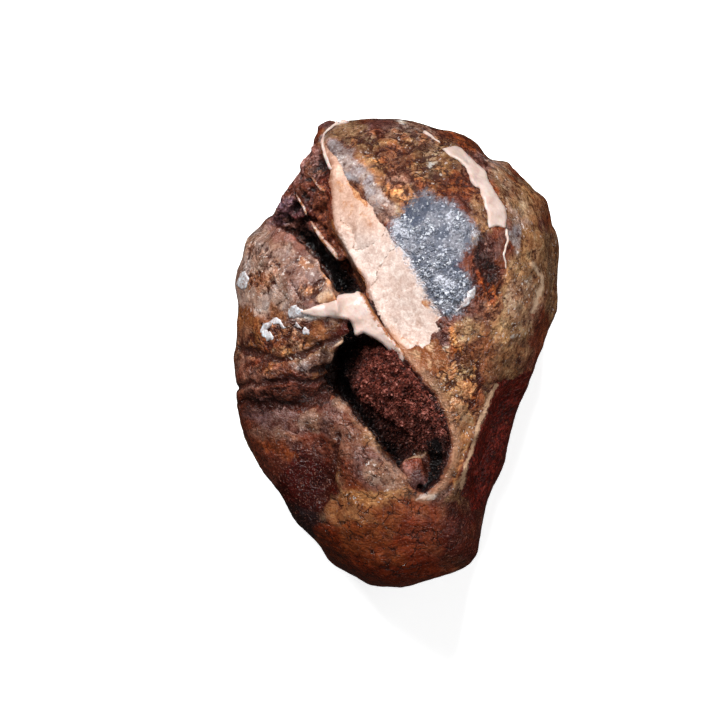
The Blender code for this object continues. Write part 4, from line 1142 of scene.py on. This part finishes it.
# Painted glints: pale flecks on the rind, and reddish ones in its dark parts
painted_glint_zone = step(tree, clouds(tree, spot, 3.4, 3.0), 0.44, 0.56)
spark = step(tree, clouds(tree, spot, 0.42, 1.5, 0.5, 0.4), 0.625, 0.655)
pale_here = step(tree, tint_green, 0.03, 0.16)
painted_glint = times(times(spark, painted_glint_zone), step(tree, furrow, 0.5, 0.1))
painted_glint = times(painted_glint, plus(0.02, times(pale_here, 0.78)))
rind = blend(tree, times(painted_glint, 0.80), rind, (0.84, 0.75, 0.70, 1))
painted_dark_glint = step(tree, clouds(tree, spot, 0.27, 1.0, 0.5, 0.3), 0.64, 0.68)
painted_dark_glint = times(painted_dark_glint, rest(pale_here))
rind = blend(tree, times(painted_dark_glint, 0.50), rind, (0.30, 0.13, 0.09, 1))
rind = blend(tree, step(tree, streak, 0.10, 0.19, 0.0, 0.45), rind, (0.24, 0.105, 0.075, 1))

# %% The cream layer: peach above, whiter below, with iron spots and a rusty left border
paleness = plus(step(tree, along_y, 22.0, 10.0), clouds(tree, spot, 3.2, 4.0, 0.6))
peach = step(tree, paleness, 0.45, 1.25)
cream = blend(tree, peach, (0.63, 0.385, 0.285, 1), (0.82, 0.63, 0.55, 1))
cream = use_group(tree, mottle, {
    "Colour": cream, "Stain And Shade": (0.42, 0.20, 0.09, 1), "Span": 1.1, "Contrast": 0.26,
    "Crevice": times(crevice_mark, 0.6),
})["Colour"]
rust_here = plus(mark(tree, "rust"), times(less(clouds(tree, spot, 0.8, 5.0, 0.7), 0.5), 1.8))
rusted = cloudy(0.42, 3.0, 0.7, 0.42, 0.60, (0.44, 0.13, 0.03, 1), (0.70, 0.36, 0.17, 1))
cream = blend(tree, step(tree, rust_here, 0.35, 0.95, 0.0, 0.9), cream, rusted)
hatch = step(tree, streaks(tree, spot, -59, 3.2, 0.38), 0.52, 0.72, 0.0, 0.28)
cream = blend(tree, hatch, cream, (0.52, 0.33, 0.22, 1))
scratch_line = step(tree, ragged_mark("scratch", 0.3), 0.14, 0.02)
cream = blend(tree, times(scratch_line, 0.35), cream, (0.50, 0.30, 0.20, 1))
near_hollow_rim = step(tree, mark(tree, "hollow"), -1.7, -0.1)
rusty = times(step(tree, ragged_mark("cream", 2.2), 0.80, 0.10), near_hollow_rim)
cream = blend(tree, rusty, cream, (0.27, 0.085, 0.035, 1))

# %% The honey-coloured toe below the cream layer, outlined in brown
toe_line = calc(tree, "ABSOLUTE", ragged_mark("toe", 1.2))
toe_line = calc(tree, "MINIMUM", toe_line, times(hair, 2.2))
toe_line = step(tree, toe_line, 0.10, 0.55)
honey_toe = blend(tree, toe_line, (0.26, 0.075, 0.022, 1), (0.60, 0.33, 0.18, 1))
surface = blend(tree, times(cut("toe", 1.4, 0.15, 0.15), 0.92), rind, honey_toe)

# %% The red face beside the hollow, streaked down its length
face_tone = use_group(tree, mottle, {
    "Colour": (0.088, 0.006, 0.003, 1), "Stain And Shade": (0.008, 0.001, 0.001, 1), "Span": 1.2,
    "Contrast": 1.2, "Crevice": times(streak, -4.0),
})["Colour"]
pale_streak = step(tree, streaks(tree, spot, 72, 4.0, 0.5), 0.60, 0.68, 0.0, 0.7)
face_tone = blend(tree, pale_streak, face_tone, (0.24, 0.075, 0.035, 1))
surface = blend(tree, cut("red face", 0.9, 0.12), surface, face_tone)
surface = blend(tree, cut("cream", 0.8, 0.05), surface, cream)

# %% The quartz: grey-blue sugar with white clusters, and a soft border
quartz_face = crystals(tree, spot, 0.24)
quartz_parts = channels(tree, quartz_face.outputs["Color"])
bluish = cloudy(2.4, 5.0, 0.65, 0.40, 0.60, (0.13, 0.145, 0.19, 1), (0.30, 0.30, 0.34, 1))
frosty = step(tree, ragged_mark("frost", 1.2), 0.25, 0.75)
bluish = blend(tree, times(frosty, 0.7), bluish, (0.60, 0.61, 0.68, 1))
smoke = step(tree, ragged_mark("frost", 0.6), -0.2, -0.7)
bluish = blend(tree, times(smoke, 0.75), bluish, (0.060, 0.075, 0.120, 1))
few = plus(less(0.72, times(frosty, 0.35)), times(smoke, 0.12))
white_faces = step(tree, less(quartz_parts[0], few), 0.0, 0.30)
quartz = blend(tree, times(white_faces, 0.75), bluish, (0.72, 0.74, 0.84, 1))
dark_faces = step(tree, quartz_parts[1], 0.60, 1.0, 0.0, 0.6)
quartz = blend(tree, dark_faces, quartz, (0.055, 0.062, 0.085, 1))
quartz_cut = cut("quartz", 3.2, 0.8)
surface = blend(tree, quartz_cut, surface, quartz)

# %% Pale lines along the ridge and the dome's edge, and cracks
edge = step(tree, ragged_mark("ridge", 0.9), 0.46, 0.12, 0.0, 0.9)
surface = blend(tree, edge, surface, (0.68, 0.42, 0.26, 1))
edge = step(tree, ragged_mark("dome edge", 0.9), 0.45, 0.10, 0.0, 0.75)
surface = blend(tree, edge, surface, (0.70, 0.48, 0.32, 1))
split = times(step(tree, ragged_mark("crack", 0.3), 0.11, 0.01), mark(tree, "up"))
surface = blend(tree, times(split, 0.6), surface, (0.22, 0.10, 0.05, 1))

# %% The hollow's wall: painted black shade in the gash and at its foot, painted light at the gash's top
wall_tint = blend(tree, step(tree, along_y, 10.0, 7.0), tint, (0.075, 0.014, 0.009, 1))
wall = use_group(tree, mottle, {
    "Colour": wall_tint, "Stain And Shade": (0.010, 0.003, 0.003, 1), "Span": 1.1,
    "Contrast": 1.1, "Crevice": plus(plus(crevice_mark, 0.1), times(wrinkle, 0.4)),
})["Colour"]
# Painted glints on the wall's chosen faces
painted_wall_glints = times(larger(rind_glint["Mask"], spark), 0.6)
wall = blend(tree, painted_wall_glints, wall, (0.44, 0.22, 0.19, 1))
# Painted shade: the wall turns black deep down and under the left rim, but not at the gash's upper end
shallow = times(step(tree, along_z, 17.0, 26.5), rest(mark(tree, "hollow_shade")))
shallow = larger(shallow, step(tree, along_y, 15.0, 18.0))
wall = blend(tree, shallow, (0.002, 0.001, 0.001, 1), wall)
# Painted light: a brighter orange copy of the wall at the top of the gash
lit_tone = cloudy(0.5, 4.0, 0.7, 0.42, 0.62, (0.07, 0.012, 0.008, 1), (0.42, 0.13, 0.065, 1))
lit_share = step(tree, ragged_mark("lit wall", 1.4), 0.3, 0.7)
wall = blend(tree, times(lit_share, 0.92), wall, lit_tone)
brink = times(step(tree, mark(tree, "hollow"), 0.9, 0.2), step(tree, along_y, 8.0, 5.0))
wall = blend(tree, times(brink, 0.85), wall, (0.022, 0.005, 0.004, 1))

# %% The hollow's rim: a pale worn band, a dark line, and painted shade at its foot
hollow_cut = cut("hollow", 1.0, 0.12)
rim_distance = ragged_mark("hollow", 0.8)
right_rim = times(mark(tree, "rim"), rest(mark(tree, "hollow_shade")))
# Painted shade where the rock hangs over the hollow and beside the stub
rim_shade = step(tree, ragged_mark("hollow_shade", 1.6), 0.55, 1.0)
for share, where, colour in (
    (step(tree, rim_distance, -1.7, -0.6, 0.0, 0.6), right_rim, (0.52, 0.27, 0.155, 1)),
    (step(tree, rim_distance, -0.42, -0.18, 0.0, 0.8), right_rim, (0.150, 0.035, 0.014, 1)),
    (times(rim_shade, mark(tree, "rim")), 0.85, (0.030, 0.009, 0.006, 1)),
):
    surface = blend(tree, times(share, where), surface, colour)
surface = blend(tree, hollow_cut, surface, wall)
tree.links.new(surface, shader.inputs["Base Color"])

# %% Roughness: wet wax, with duller spots
gloss = step(tree, clouds(tree, spot, 1.1, 4.0, 0.65), 0.38, 0.62, 0.08, 0.24)
smooth_here = cut("cream")
gloss = larger(larger(gloss, times(smooth_here, 0.50)), times(hollow_cut, 0.30))
tree.links.new(gloss, shader.inputs["Roughness"])

# %% Fine relief, as heights in millimetres
pits = clouds(tree, spot, 0.55, 4.0, 0.62)
pit_depth = plus(0.10, times(rugged_mark, 0.36))
height = plus(times(pits, pit_depth), times(streak, 0.28))
for line, depth in ((furrow, 0.13), (wrinkle, 0.06), (gap, 0.08), (hairline, 0.10)):
    height = less(height, times(line, depth))
height = times(height, rest(times(smooth_here, 0.86)))
height = less(height, times(times(quartz_face.outputs["Distance"], quartz_cut), 0.20))
height = less(height, times(split, 0.08))
bump = bumped(tree, height, Normal=rind_glint["Normal"])
tree.links.new(bump, shader.inputs["Normal"])

nodule.data.materials.append(stone)
nodule.data.shade_smooth()
print("stone material:", len(tree.nodes), "nodes")

# %% [markdown]
# ## Thin sheets that lie on the stone
#
# The sliver on the dome, the sheet that bridges the hollow and the white crusts are thin
# and smooth, with crisp edges. Cut from the skin they would be as soft as its voxels, so
# each is a sheet of its own. Its outline is filled with even triangles, dropped on the
# skin from above like a wet cloth, drawn taut by smoothing, and given a thickness. The
# bridge has nothing under its middle, so it starts from a plane laid on the rock it rests on.

# %% A sheet draped over the skin
rough_skin = BVHTree.FromPolygons(
    [tuple(point) for point in read_points(nodule)],
    [tuple(face.vertices) for face in nodule.data.polygons],
)
SHEET_SPACING = 0.28  # mm between a sheet's points
SKY = 60.0  # mm, above everything, where a ray downwards starts
ROUNDING = 0.35  # mm over which a sheet rises from its edge to its full lift
RESTS_WITHIN = 4.0  # mm below the highest rock: what a spanning sheet rests on
SAG = 0.6  # mm that a spanning sheet hangs below its plane
LIES_DOWN = (-8.4, -10.4)  # x, mm: from where to where a pressed sheet comes to lie


def ground(x, y):
    """Height of the skin below a point, as seen from above."""
    hit = rough_skin.ray_cast(Vector((x, y, SKY)), Vector((0, 0, -1)))[0]
    return hit.z if hit else EQUATOR


def unseen_plan(x, y):
    """The true place of a skin point that appears at this place in the plan."""
    true_x, true_y = x, y
    for _ in range(3):
        nearer = CAMERA_RISE / (CAMERA_RISE - (ground(true_x, true_y) - EQUATOR))
        true_x = CAMERA_X + (x - CAMERA_X) / nearer
        true_y = CAMERA_Y + (y - CAMERA_Y) / nearer
    return Vector((true_x, true_y))


def filled(outline, spacing, wobble):
    """Even triangles inside an outline whose edge wobbles by that many millimetres."""
    corners = [Vector(corner) for corner in outline]
    rim = []
    for start, end in zip(corners, corners[1:] + corners[:1]):
        steps = max(1, round((end - start).length / spacing))
        rim += [start.lerp(end, share / steps) for share in range(steps)]
    ring = [(rim[k - 1] + 2 * rim[k] + rim[(k + 1) % len(rim)]) / 4 for k in range(len(rim))]
    for corner in ring:
        seed = Vector((corner.x, corner.y, 7.0))
        corner.x += wobble * noise.fractal(seed / 0.9, 1.0, 2.0, 3)
        corner.y += wobble * noise.fractal(seed / 0.9 + Vector((9, 9, 9)), 1.0, 2.0, 3)
    low = np.min([tuple(corner) for corner in ring], axis=0)
    high = np.max([tuple(corner) for corner in ring], axis=0)
    grid = np.array([
        (x + (row % 2) * spacing / 2, y)
        for row, y in enumerate(np.arange(low[1], high[1], spacing * 0.87))
        for x in np.arange(low[0], high[0], spacing)
    ])
    kept = grid[inside(grid, [tuple(corner) for corner in ring]) > spacing * 0.5]
    spots = ring + [Vector(spot) for spot in kept]
    found = delaunay_2d_cdt(spots, [], [list(range(len(ring)))], 1, 1e-5)
    return found[0], found[2], [tuple(corner) for corner in ring]


def finished(work, name, material):
    """A piece made of a work mesh in millimetres, its faces turned outwards."""
    for vert in work.verts:
        vert.co *= MM
    bmesh.ops.recalc_face_normals(work, faces=work.faces)
    mesh = bpy.data.meshes.new(name)
    work.to_mesh(mesh)
    work.free()
    mesh.materials.append(material)
    mesh.shade_smooth()
    print(name, len(mesh.polygons), "faces")
    return link(name, mesh)


def drape(
    name, outlines, material, lift, thickness, wobble=0.12, taut=0, lumpy=0.0, pressed=0.0,
    span=False,
):
    """One piece of thin sheets, each lifted off the skin and rounded towards its edge.

    A sheet can span a gap, and can be pressed down by a share left of the hollow."""
    work = bmesh.new()
    for outline in outlines:
        spots, faces, ring = filled(outline, SHEET_SPACING, wobble)
        plan_spots = np.array([tuple(spot) for spot in spots])
        inner = np.abs(inside(plan_spots, ring))
        true_spots = [unseen_plan(x, y) for x, y in plan_spots]
        floor_z = np.array([ground(*spot) for spot in true_spots])
        sides = np.array([(f[k], f[k - 1]) for f in faces for k in range(len(f))])
        height = floor_z.copy()
        if span:  # over a gap, start from the plane of the points that rest on rock
            rests = floor_z > floor_z.max() - RESTS_WITHIN
            terms = np.column_stack([np.ones(len(floor_z)), plan_spots])
            fitted = np.linalg.lstsq(terms[rests], floor_z[rests], rcond=None)[0]
            height = np.maximum(floor_z, terms @ fitted - SAG)
        for _ in range(taut):
            height = np.maximum(smoothed(height[:, None], sides, 1)[:, 0], floor_z)
        free = 1.0 - pressed * smoothstep(*LIES_DOWN, plan_spots[:, 0])
        height += lift * free * np.sqrt(np.clip(inner / ROUNDING, 0.02, 1.0))
        if lumpy:
            height += lumpy * (0.5 + field(np.column_stack([plan_spots, height]), 0.7, 3, 70.0))
        verts = [work.verts.new((*xy, z)) for xy, z in zip(true_spots, height)]
        top = [work.faces.new([verts[k] for k in face]) for face in faces]
        under = bmesh.ops.extrude_face_region(work, geom=top, use_keep_orig=True)["geom"]
        for vert in under:
            if isinstance(vert, bmesh.types.BMVert):
                vert.co.z -= thickness
    return finished(work, name, material)


# %% The sheets' materials
pale_sheet, tree, shader = new_material(
    "pale_sheet", Roughness=0.30, Specular_IOR_Level=0.5, Subsurface_Weight=0.25,
    Subsurface_Scale=0.0008,
)
spot = place(tree)
warm = cloudy(1.8, 3.0, 0.6, 0.38, 0.62, (0.60, 0.44, 0.38, 1), (0.67, 0.53, 0.475, 1))
pale = use_group(tree, mottle, {
    "Colour": warm, "Stain And Shade": (0.50, 0.30, 0.20, 1), "Span": 1.6, "Contrast": 0.07, "Crevice": -0.1,
})["Colour"]
seam = times(less(clouds(tree, spot, 0.6, 4.0, 0.7), 0.5), 2.4)
seam = step(tree, plus(mark(tree, "seam"), seam), 0.3, 0.8)
pale = blend(tree, seam, pale, (0.30, 0.11, 0.04, 1))
pale = blend(tree, times(mark(tree, "crease"), 0.6), pale, (0.42, 0.26, 0.20, 1))
tree.links.new(pale, shader.inputs["Base Color"])
ripple = bumped(tree, clouds(tree, spot, 0.9, 3.0), 0.12)
tree.links.new(ripple, shader.inputs["Normal"])

white_crust, tree, shader = new_material("white_crust", Roughness=0.35, Specular_IOR_Level=0.5)
spot = place(tree)
chalk = use_group(tree, mottle, {
    "Colour": (0.62, 0.58, 0.59, 1), "Stain And Shade": (0.26, 0.15, 0.11, 1), "Span": 0.8, "Contrast": 0.42,
    "Crevice": 0.12,
})["Colour"]
tree.links.new(chalk, shader.inputs["Base Color"])
crumb = bumped(tree, clouds(tree, spot, 0.35, 4.0), 0.25)
tree.links.new(crumb, shader.inputs["Normal"])

# %% Sliver, bridge and crusts


def ribbon(path, width):
    """The outline of a tapering ribbon along a path."""
    line = np.array(path, float)
    ahead = np.gradient(line, axis=0)
    across = np.column_stack([-ahead[:, 1], ahead[:, 0]])
    half_widths = width / 2 * np.linspace(1.0, 0.45, len(line))
    across *= (half_widths / np.linalg.norm(across, axis=1))[:, None]
    return [tuple(spot) for spot in np.vstack([line + across, (line - across)[::-1]])]


sliver_parts = [OUTLINES["sliver"], ribbon(TAIL, 0.34), ribbon(STRAND, 0.48), ribbon(WISP, 0.42)]
sliver = drape(
    "dome_sliver", sliver_parts, pale_sheet, lift=0.30, thickness=0.5, wobble=0.14, taut=6,
)
bridge = drape(
    "bridge_sheet", [OUTLINES["bridge"]], pale_sheet, lift=0.55, thickness=0.9, wobble=0.10,
    taut=14, pressed=0.75, span=True,
)
crust_parts = [OUTLINES["crescent"], *WHITE_CRUST, *(ribbon(*thin) for thin in THIN_CRUST)]
crusts = drape(
    "white_crusts", crust_parts, white_crust, lift=0.05, thickness=0.35, wobble=0.44, taut=1,
    lumpy=0.14,
)
bridge_plan = seen_plan(read_points(bridge))
for name, path, width in (("seam", BRIDGE_SEAM, 1.1), ("crease", BRIDGE_CREASE, 0.14)):
    write_mark(bridge, name, np.clip(1.0 - to_path(bridge_plan, path) / width, 0.0, 1.0))

# %% Thin blades that stand in the gash
FIN_DEPTH = 2.2  # mm that a blade reaches down into the rock
FIN_RING = (  # its section: share of the width to each side, and mm below the top
    (-0.5, FIN_DEPTH), (-0.5, 0.25), (-0.3, 0.06), (0, 0), (0.3, 0.06), (0.5, 0.25),
    (0.5, FIN_DEPTH),
)


def fin(work, path, start_width, end_width, lift=0.35):
    """A thin standing sheet along a path seen from above, rounded on top."""
    stations = np.linspace(0, len(path) - 1, 4 * len(path))
    x, y = (np.interp(stations, range(len(path)), along) for along in np.array(path).T)
    line = np.column_stack([x, y])
    for _ in range(3):
        line[1:-1] = (line[:-2] + 2 * line[1:-1] + line[2:]) / 4
    line = np.array([tuple(unseen_plan(*spot)) for spot in line])
    ahead = np.gradient(line, axis=0)
    across = np.column_stack([-ahead[:, 1], ahead[:, 0]]) / np.linalg.norm(ahead, axis=1)[:, None]
    tops = np.array([
        max(ground(*(spot + 0.2 * k * side)) for k in (-1, 0, 1))
        for spot, side in zip(line, across)
    ])
    neighbours = np.array([(k, k + 1) for k in range(len(tops) - 1)])
    tops = smoothed(tops[:, None], neighbours, 6)[:, 0] + lift
    loops = []
    for k, (spot, side) in enumerate(zip(line, across)):
        share = k / (len(line) - 1)
        width = start_width + (end_width - start_width) * share
        width *= min(1.0, 0.35 + 3.0 * share, 0.35 + 4.0 * (1 - share))
        width *= 1.0 + 0.22 * noise.noise(Vector((*spot, 3.0)) * 1.6)
        loops.append([
            work.verts.new((*(spot + side * width * away), tops[k] - drop))
            for away, drop in FIN_RING
        ])
    for first, second in zip(loops, loops[1:]):
        for k in range(len(first)):
            after = (k + 1) % len(first)
            work.faces.new((first[k], first[after], second[after], second[k]))
    work.faces.new(loops[0])
    work.faces.new(loops[-1][::-1])


fins = bmesh.new()
for path, start_width, end_width in BLADES.values():
    fin(fins, path, start_width, end_width)
blades = finished(fins, "gash_blades", pale_sheet)
write_mark(blades, "seam", np.full(len(blades.data.vertices), 0.60))

# %% [markdown]
# ## The druse in the hollow
#
# The hollow's slanting wall carries a crust of crystals so fine that it looks like velvet.
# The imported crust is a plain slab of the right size. Here a copy of it is remeshed and
# given a botryoidal relief, and real grains grow on it in the next step. A bump map alone
# would look painted on, since no grain would stand up at the rim.

# %% Velvet crust
CRUST_VOXEL = 0.22 * MM
crust = even_skin("velvet_crust", "cavity_crust", CRUST_VOXEL)
crust_edges = edge_ends(crust)
crust_points = smoothed(read_points(crust), crust_edges, 2)
write_points(crust, crust_points)
crust_normals = read_normals(crust)
lumps = 0.60 * field(crust_points, 2.0, 3, 3.0)
lumps += 0.60 * (0.5 - cells(crust_points, 0.9, 2.0)[0])
lumps += 0.1 * field(crust_points, 0.7, 2)
write_points(crust, crust_points + crust_normals * lumps[:, None])
crust.data.shade_smooth()
write_mark(crust, "hollow_shade", hollow_shade(crust_points))

# %% The druse's material
druse, tree, shader = new_material("velvet_druse", Roughness=0.5, Specular_IOR_Level=0.25)
druse_colour = use_group(tree, mottle, {
    "Colour": (0.110, 0.020, 0.012, 1), "Stain And Shade": (0.006, 0.0015, 0.0015, 1), "Span": 0.9,
    "Contrast": 1.8, "Crevice": 0.18,
})["Colour"]
along_x, along_y, along_z = axes(tree, place(tree))
# Painted shade: black deep down, darker towards the closed end and under the left rim
lit_part = times(step(tree, along_z, 18.5, 27.5), step(tree, along_y, -17.0, -5.0, 0.35, 1.0))
lit_part = times(lit_part, rest(mark(tree, "hollow_shade")))
druse_colour = blend(tree, lit_part, (0.004, 0.0015, 0.0015, 1), druse_colour)
druse_glint = use_group(tree, glints, {"Span": 0.26, "Share": 0.09, "Tilt": 0.7})
# Painted glints: a share of faces made paler, as well as tilted
painted_glints = times(druse_glint["Mask"], 0.55)
druse_colour = blend(tree, painted_glints, druse_colour, (0.38, 0.16, 0.11, 1))
tree.links.new(druse_colour, shader.inputs["Base Color"])
tree.links.new(druse_glint["Normal"], shader.inputs["Normal"])
crust.data.materials.append(druse)

# %% [markdown]
# ## Growing grains with Geometry Nodes
#
# Thousands of grains follow one rule: sit on a marked surface, point more or less away
# from it, and vary in size. That is what Geometry Nodes are for. The tree scatters points
# where a mark is above 0, puts a small crystal on each, and ends in real geometry, because
# instances are lost when the model is exported. A loop in Python would be slower and
# harder to tune.

# %% The grain tree


def grain_tree():
    tree = bpy.data.node_groups.new("grow grains", "GeometryNodeTree")
    sockets = {
        "Surface": "NodeSocketGeometry", "Per Square Metre": FLOAT, "Smallest": FLOAT,
        "Largest": FLOAT, "Sides": "NodeSocketInt", "Seed": "NodeSocketInt",
        "Material": "NodeSocketMaterial",
    }
    for name, kind in sockets.items():
        tree.interface.new_socket(name, in_out="INPUT", socket_type=kind)
    tree.interface.new_socket("Grains", in_out="OUTPUT", socket_type="NodeSocketGeometry")
    given = add(tree, "NodeGroupInput").outputs
    where = add(tree, "GeometryNodeInputNamedAttribute", {"Name": "grow"}, data_type="FLOAT")
    density = calc(tree, "MULTIPLY", where.outputs[0], given["Per Square Metre"])
    scatter = add(tree, "GeometryNodeDistributePointsOnFaces", {
        "Mesh": given["Surface"], "Density": density, "Seed": given["Seed"],
    })
    body = add(tree, "GeometryNodeMeshCone", {
        "Vertices": given["Sides"], "Radius Top": 0.30, "Radius Bottom": 0.5, "Depth": 1.0,
    }, fill_type="NGON")
    size = add(tree, "FunctionNodeRandomValue", {
        "Min": given["Smallest"], "Max": given["Largest"], "Seed": given["Seed"],
    }, data_type="FLOAT")
    lean = add(tree, "FunctionNodeRandomValue", {
        0: (-0.8, -0.8, -3.14), 1: (0.8, 0.8, 3.14), "Seed": given["Seed"],
    }, data_type="FLOAT_VECTOR")
    turn = add(tree, "FunctionNodeRotateRotation", {
        "Rotation": scatter.outputs["Rotation"], "Rotate By": lean.outputs[0],
    }, rotation_space="LOCAL")
    sit = add(tree, "GeometryNodeInstanceOnPoints", {
        "Points": scatter.outputs["Points"], "Instance": body.outputs["Mesh"],
        "Rotation": turn.outputs[0], "Scale": size.outputs[1],
    })
    real = add(tree, "GeometryNodeRealizeInstances", {"Geometry": sit.outputs[0]})
    dressed = add(tree, "GeometryNodeSetMaterial", {
        "Geometry": real.outputs[0], "Material": given["Material"],
    })
    add(tree, "NodeGroupOutput", {"Grains": dressed.outputs[0]})
    return tree


GRAINS = grain_tree()

# %% Grow grains on a host


def grow(name, host, where, material, per_square_mm, smallest, largest, sides=5, seed=1):
    """A new piece of grains on the host's surface, as dense as the numbers in where.

    Each grain is a tapering prism with that many sides, its size in millimetres."""
    item = link(name, host.data.copy())
    write_mark(item, "grow", np.clip(where, 0.0, 1.0))
    modifier = item.modifiers.new("grains", "NODES")
    modifier.node_group = GRAINS
    values = {
        "Per Square Metre": per_square_mm / MM**2, "Smallest": smallest * MM,
        "Largest": largest * MM, "Sides": sides, "Seed": seed, "Material": material,
    }
    for socket in GRAINS.interface.items_tree:
        if socket.in_out == "INPUT" and socket.name in values:
            modifier[socket.identifier] = values[socket.name]
    baked(item)
    for layer in list(item.data.attributes):
        if layer.name in ("grow", "tint", *MARKS) and layer.name != "hollow_shade":
            item.data.attributes.remove(layer)
    print(name, len(item.data.polygons), "faces")
    return item


clear_of_bridge = smoothstep(-0.2, -0.6, border["bridge"]) + smoothstep(24.0, 22.0, points[:, 2])
on_wall = smoothstep(0.1, 0.6, hollow) * np.minimum(clear_of_bridge, 1.0)
on_wall *= smoothstep(12.0, 8.0, points[:, 1])
crust_grains = grow(
    "crust_grains", crust, np.ones(len(crust_points)), druse,
    per_square_mm=22, smallest=0.14, largest=0.34, seed=3,
)
wall_grains = grow(
    "wall_grains", nodule, on_wall, druse, per_square_mm=12, smallest=0.14, largest=0.36, seed=5,
)

# %% Quartz grains on the grey patch
quartz_grain, tree, shader = new_material(
    "quartz_grain", Roughness=0.18, Specular_IOR_Level=0.6, Coat_Weight=0.3,
)
each_grain = channels(tree, crystals(tree, place(tree), 0.5).outputs["Color"])[0]
grain_tone = step(tree, each_grain, 0.3, 0.95)
grain_tone = blend(tree, grain_tone, (0.20, 0.22, 0.27, 1), (0.78, 0.80, 0.86, 1))
tree.links.new(grain_tone, shader.inputs["Base Color"])
in_clusters = smoothstep(-0.2, 0.5, field(points, 2.2, 3, 60.0))
on_quartz = smoothstep(0.0, 1.2, border["quartz"]) * up * in_clusters
quartz_grains = grow(
    "quartz_grains", nodule, on_quartz, quartz_grain,
    per_square_mm=11, smallest=0.18, largest=0.42, sides=6, seed=8,
)

# %% [markdown]
# ## What rides, and what it replaces
#
# Nothing on a stone moves, so every piece rides on the one body. The skin and the crust
# stand for the imported nodes, which stay in the physics model.

# %% Hang every piece on the one body, and hide the imported nodes
for piece, slot in (
    (nodule, "rind"), (crust, "druse"), (crust_grains, "druse"), (wall_grains, "druse"),
    (quartz_grains, "rind"), (sliver, "rind"), (bridge, "rind"), (crusts, "rind"),
    (blades, "rind"),
):
    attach(piece, "root")
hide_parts("nodule")
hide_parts("cavity_crust")

# %% [markdown]
# ## Floor and light
#
# A pale floor and soft light from the domed end, a little to the left, as on a bright
# table by a window. A large lamp gives broad soft gloss on the wax, and a smaller one
# gives the bright points on the crystal faces. The world's light fills the shadows, so it
# stays low enough to leave the hollow dark.

# %% Floor
floor_mesh = bpy.data.meshes.new("floor")
work = bmesh.new()
bmesh.ops.create_grid(work, x_segments=1, y_segments=1, size=3.0)
work.to_mesh(floor_mesh)
work.free()
floor = link("floor", floor_mesh)
floor_material, tree, shader = new_material("pale_floor", Roughness=0.9, Specular_IOR_Level=0.1)
shader.inputs["Base Color"].default_value = (0.93, 0.93, 0.93, 1)
shader.inputs["Emission Color"].default_value = (1, 1, 1, 1)
shader.inputs["Emission Strength"].default_value = 0.62  # a lit table keeps the shadow pale
floor.data.materials.append(floor_material)
floor.visible_glossy = False  # the wax would mirror it as a grey veil
floor.visible_diffuse = False  # and its glow would wash out the dark flanks

# %% Lamps and world
MIDDLE = (0, 0, 0.02)  # of the stone, m


def lamp(name, spot, size, power):
    """An area lamp that looks at the stone: place and size in metres, power in watts."""
    data = bpy.data.lights.new(name, "AREA")
    data.size = size
    data.energy = power
    item = bpy.data.objects.new(name, data)
    item.location = Vector(spot)
    aim = Vector(MIDDLE) - item.location
    item.rotation_mode = "QUATERNION"
    item.rotation_quaternion = aim.to_track_quat("-Z", "Y")
    item.visible_camera = False
    bpy.context.scene.collection.objects.link(item)
    return item


lamp("key", (-0.26, 0.40, 0.55), 0.20, 4.9)
lamp("fill", (0.45, -0.10, 0.45), 0.60, 1.8)
lamp("spark", (0.06, 0.50, 0.62), 0.08, 3.0)

world = bpy.data.worlds.new("soft daylight")
world.use_nodes = True
sky = world.node_tree
ways = axes(sky, add(sky, "ShaderNodeTexCoord").outputs["Generated"])
overhead = step(sky, ways[2], -0.25, 0.45)
seen = add(sky, "ShaderNodeLightPath").outputs["Is Camera Ray"]
glow = blend(sky, overhead, (0.030, 0.020, 0.017, 1), (0.14, 0.14, 0.14, 1))
glow = blend(sky, seen, glow, (1, 1, 1, 1))
sky.links.new(glow, sky.nodes["Background"].inputs["Color"])
bpy.context.scene.world = world
bpy.context.scene.view_settings.view_transform = "Standard"
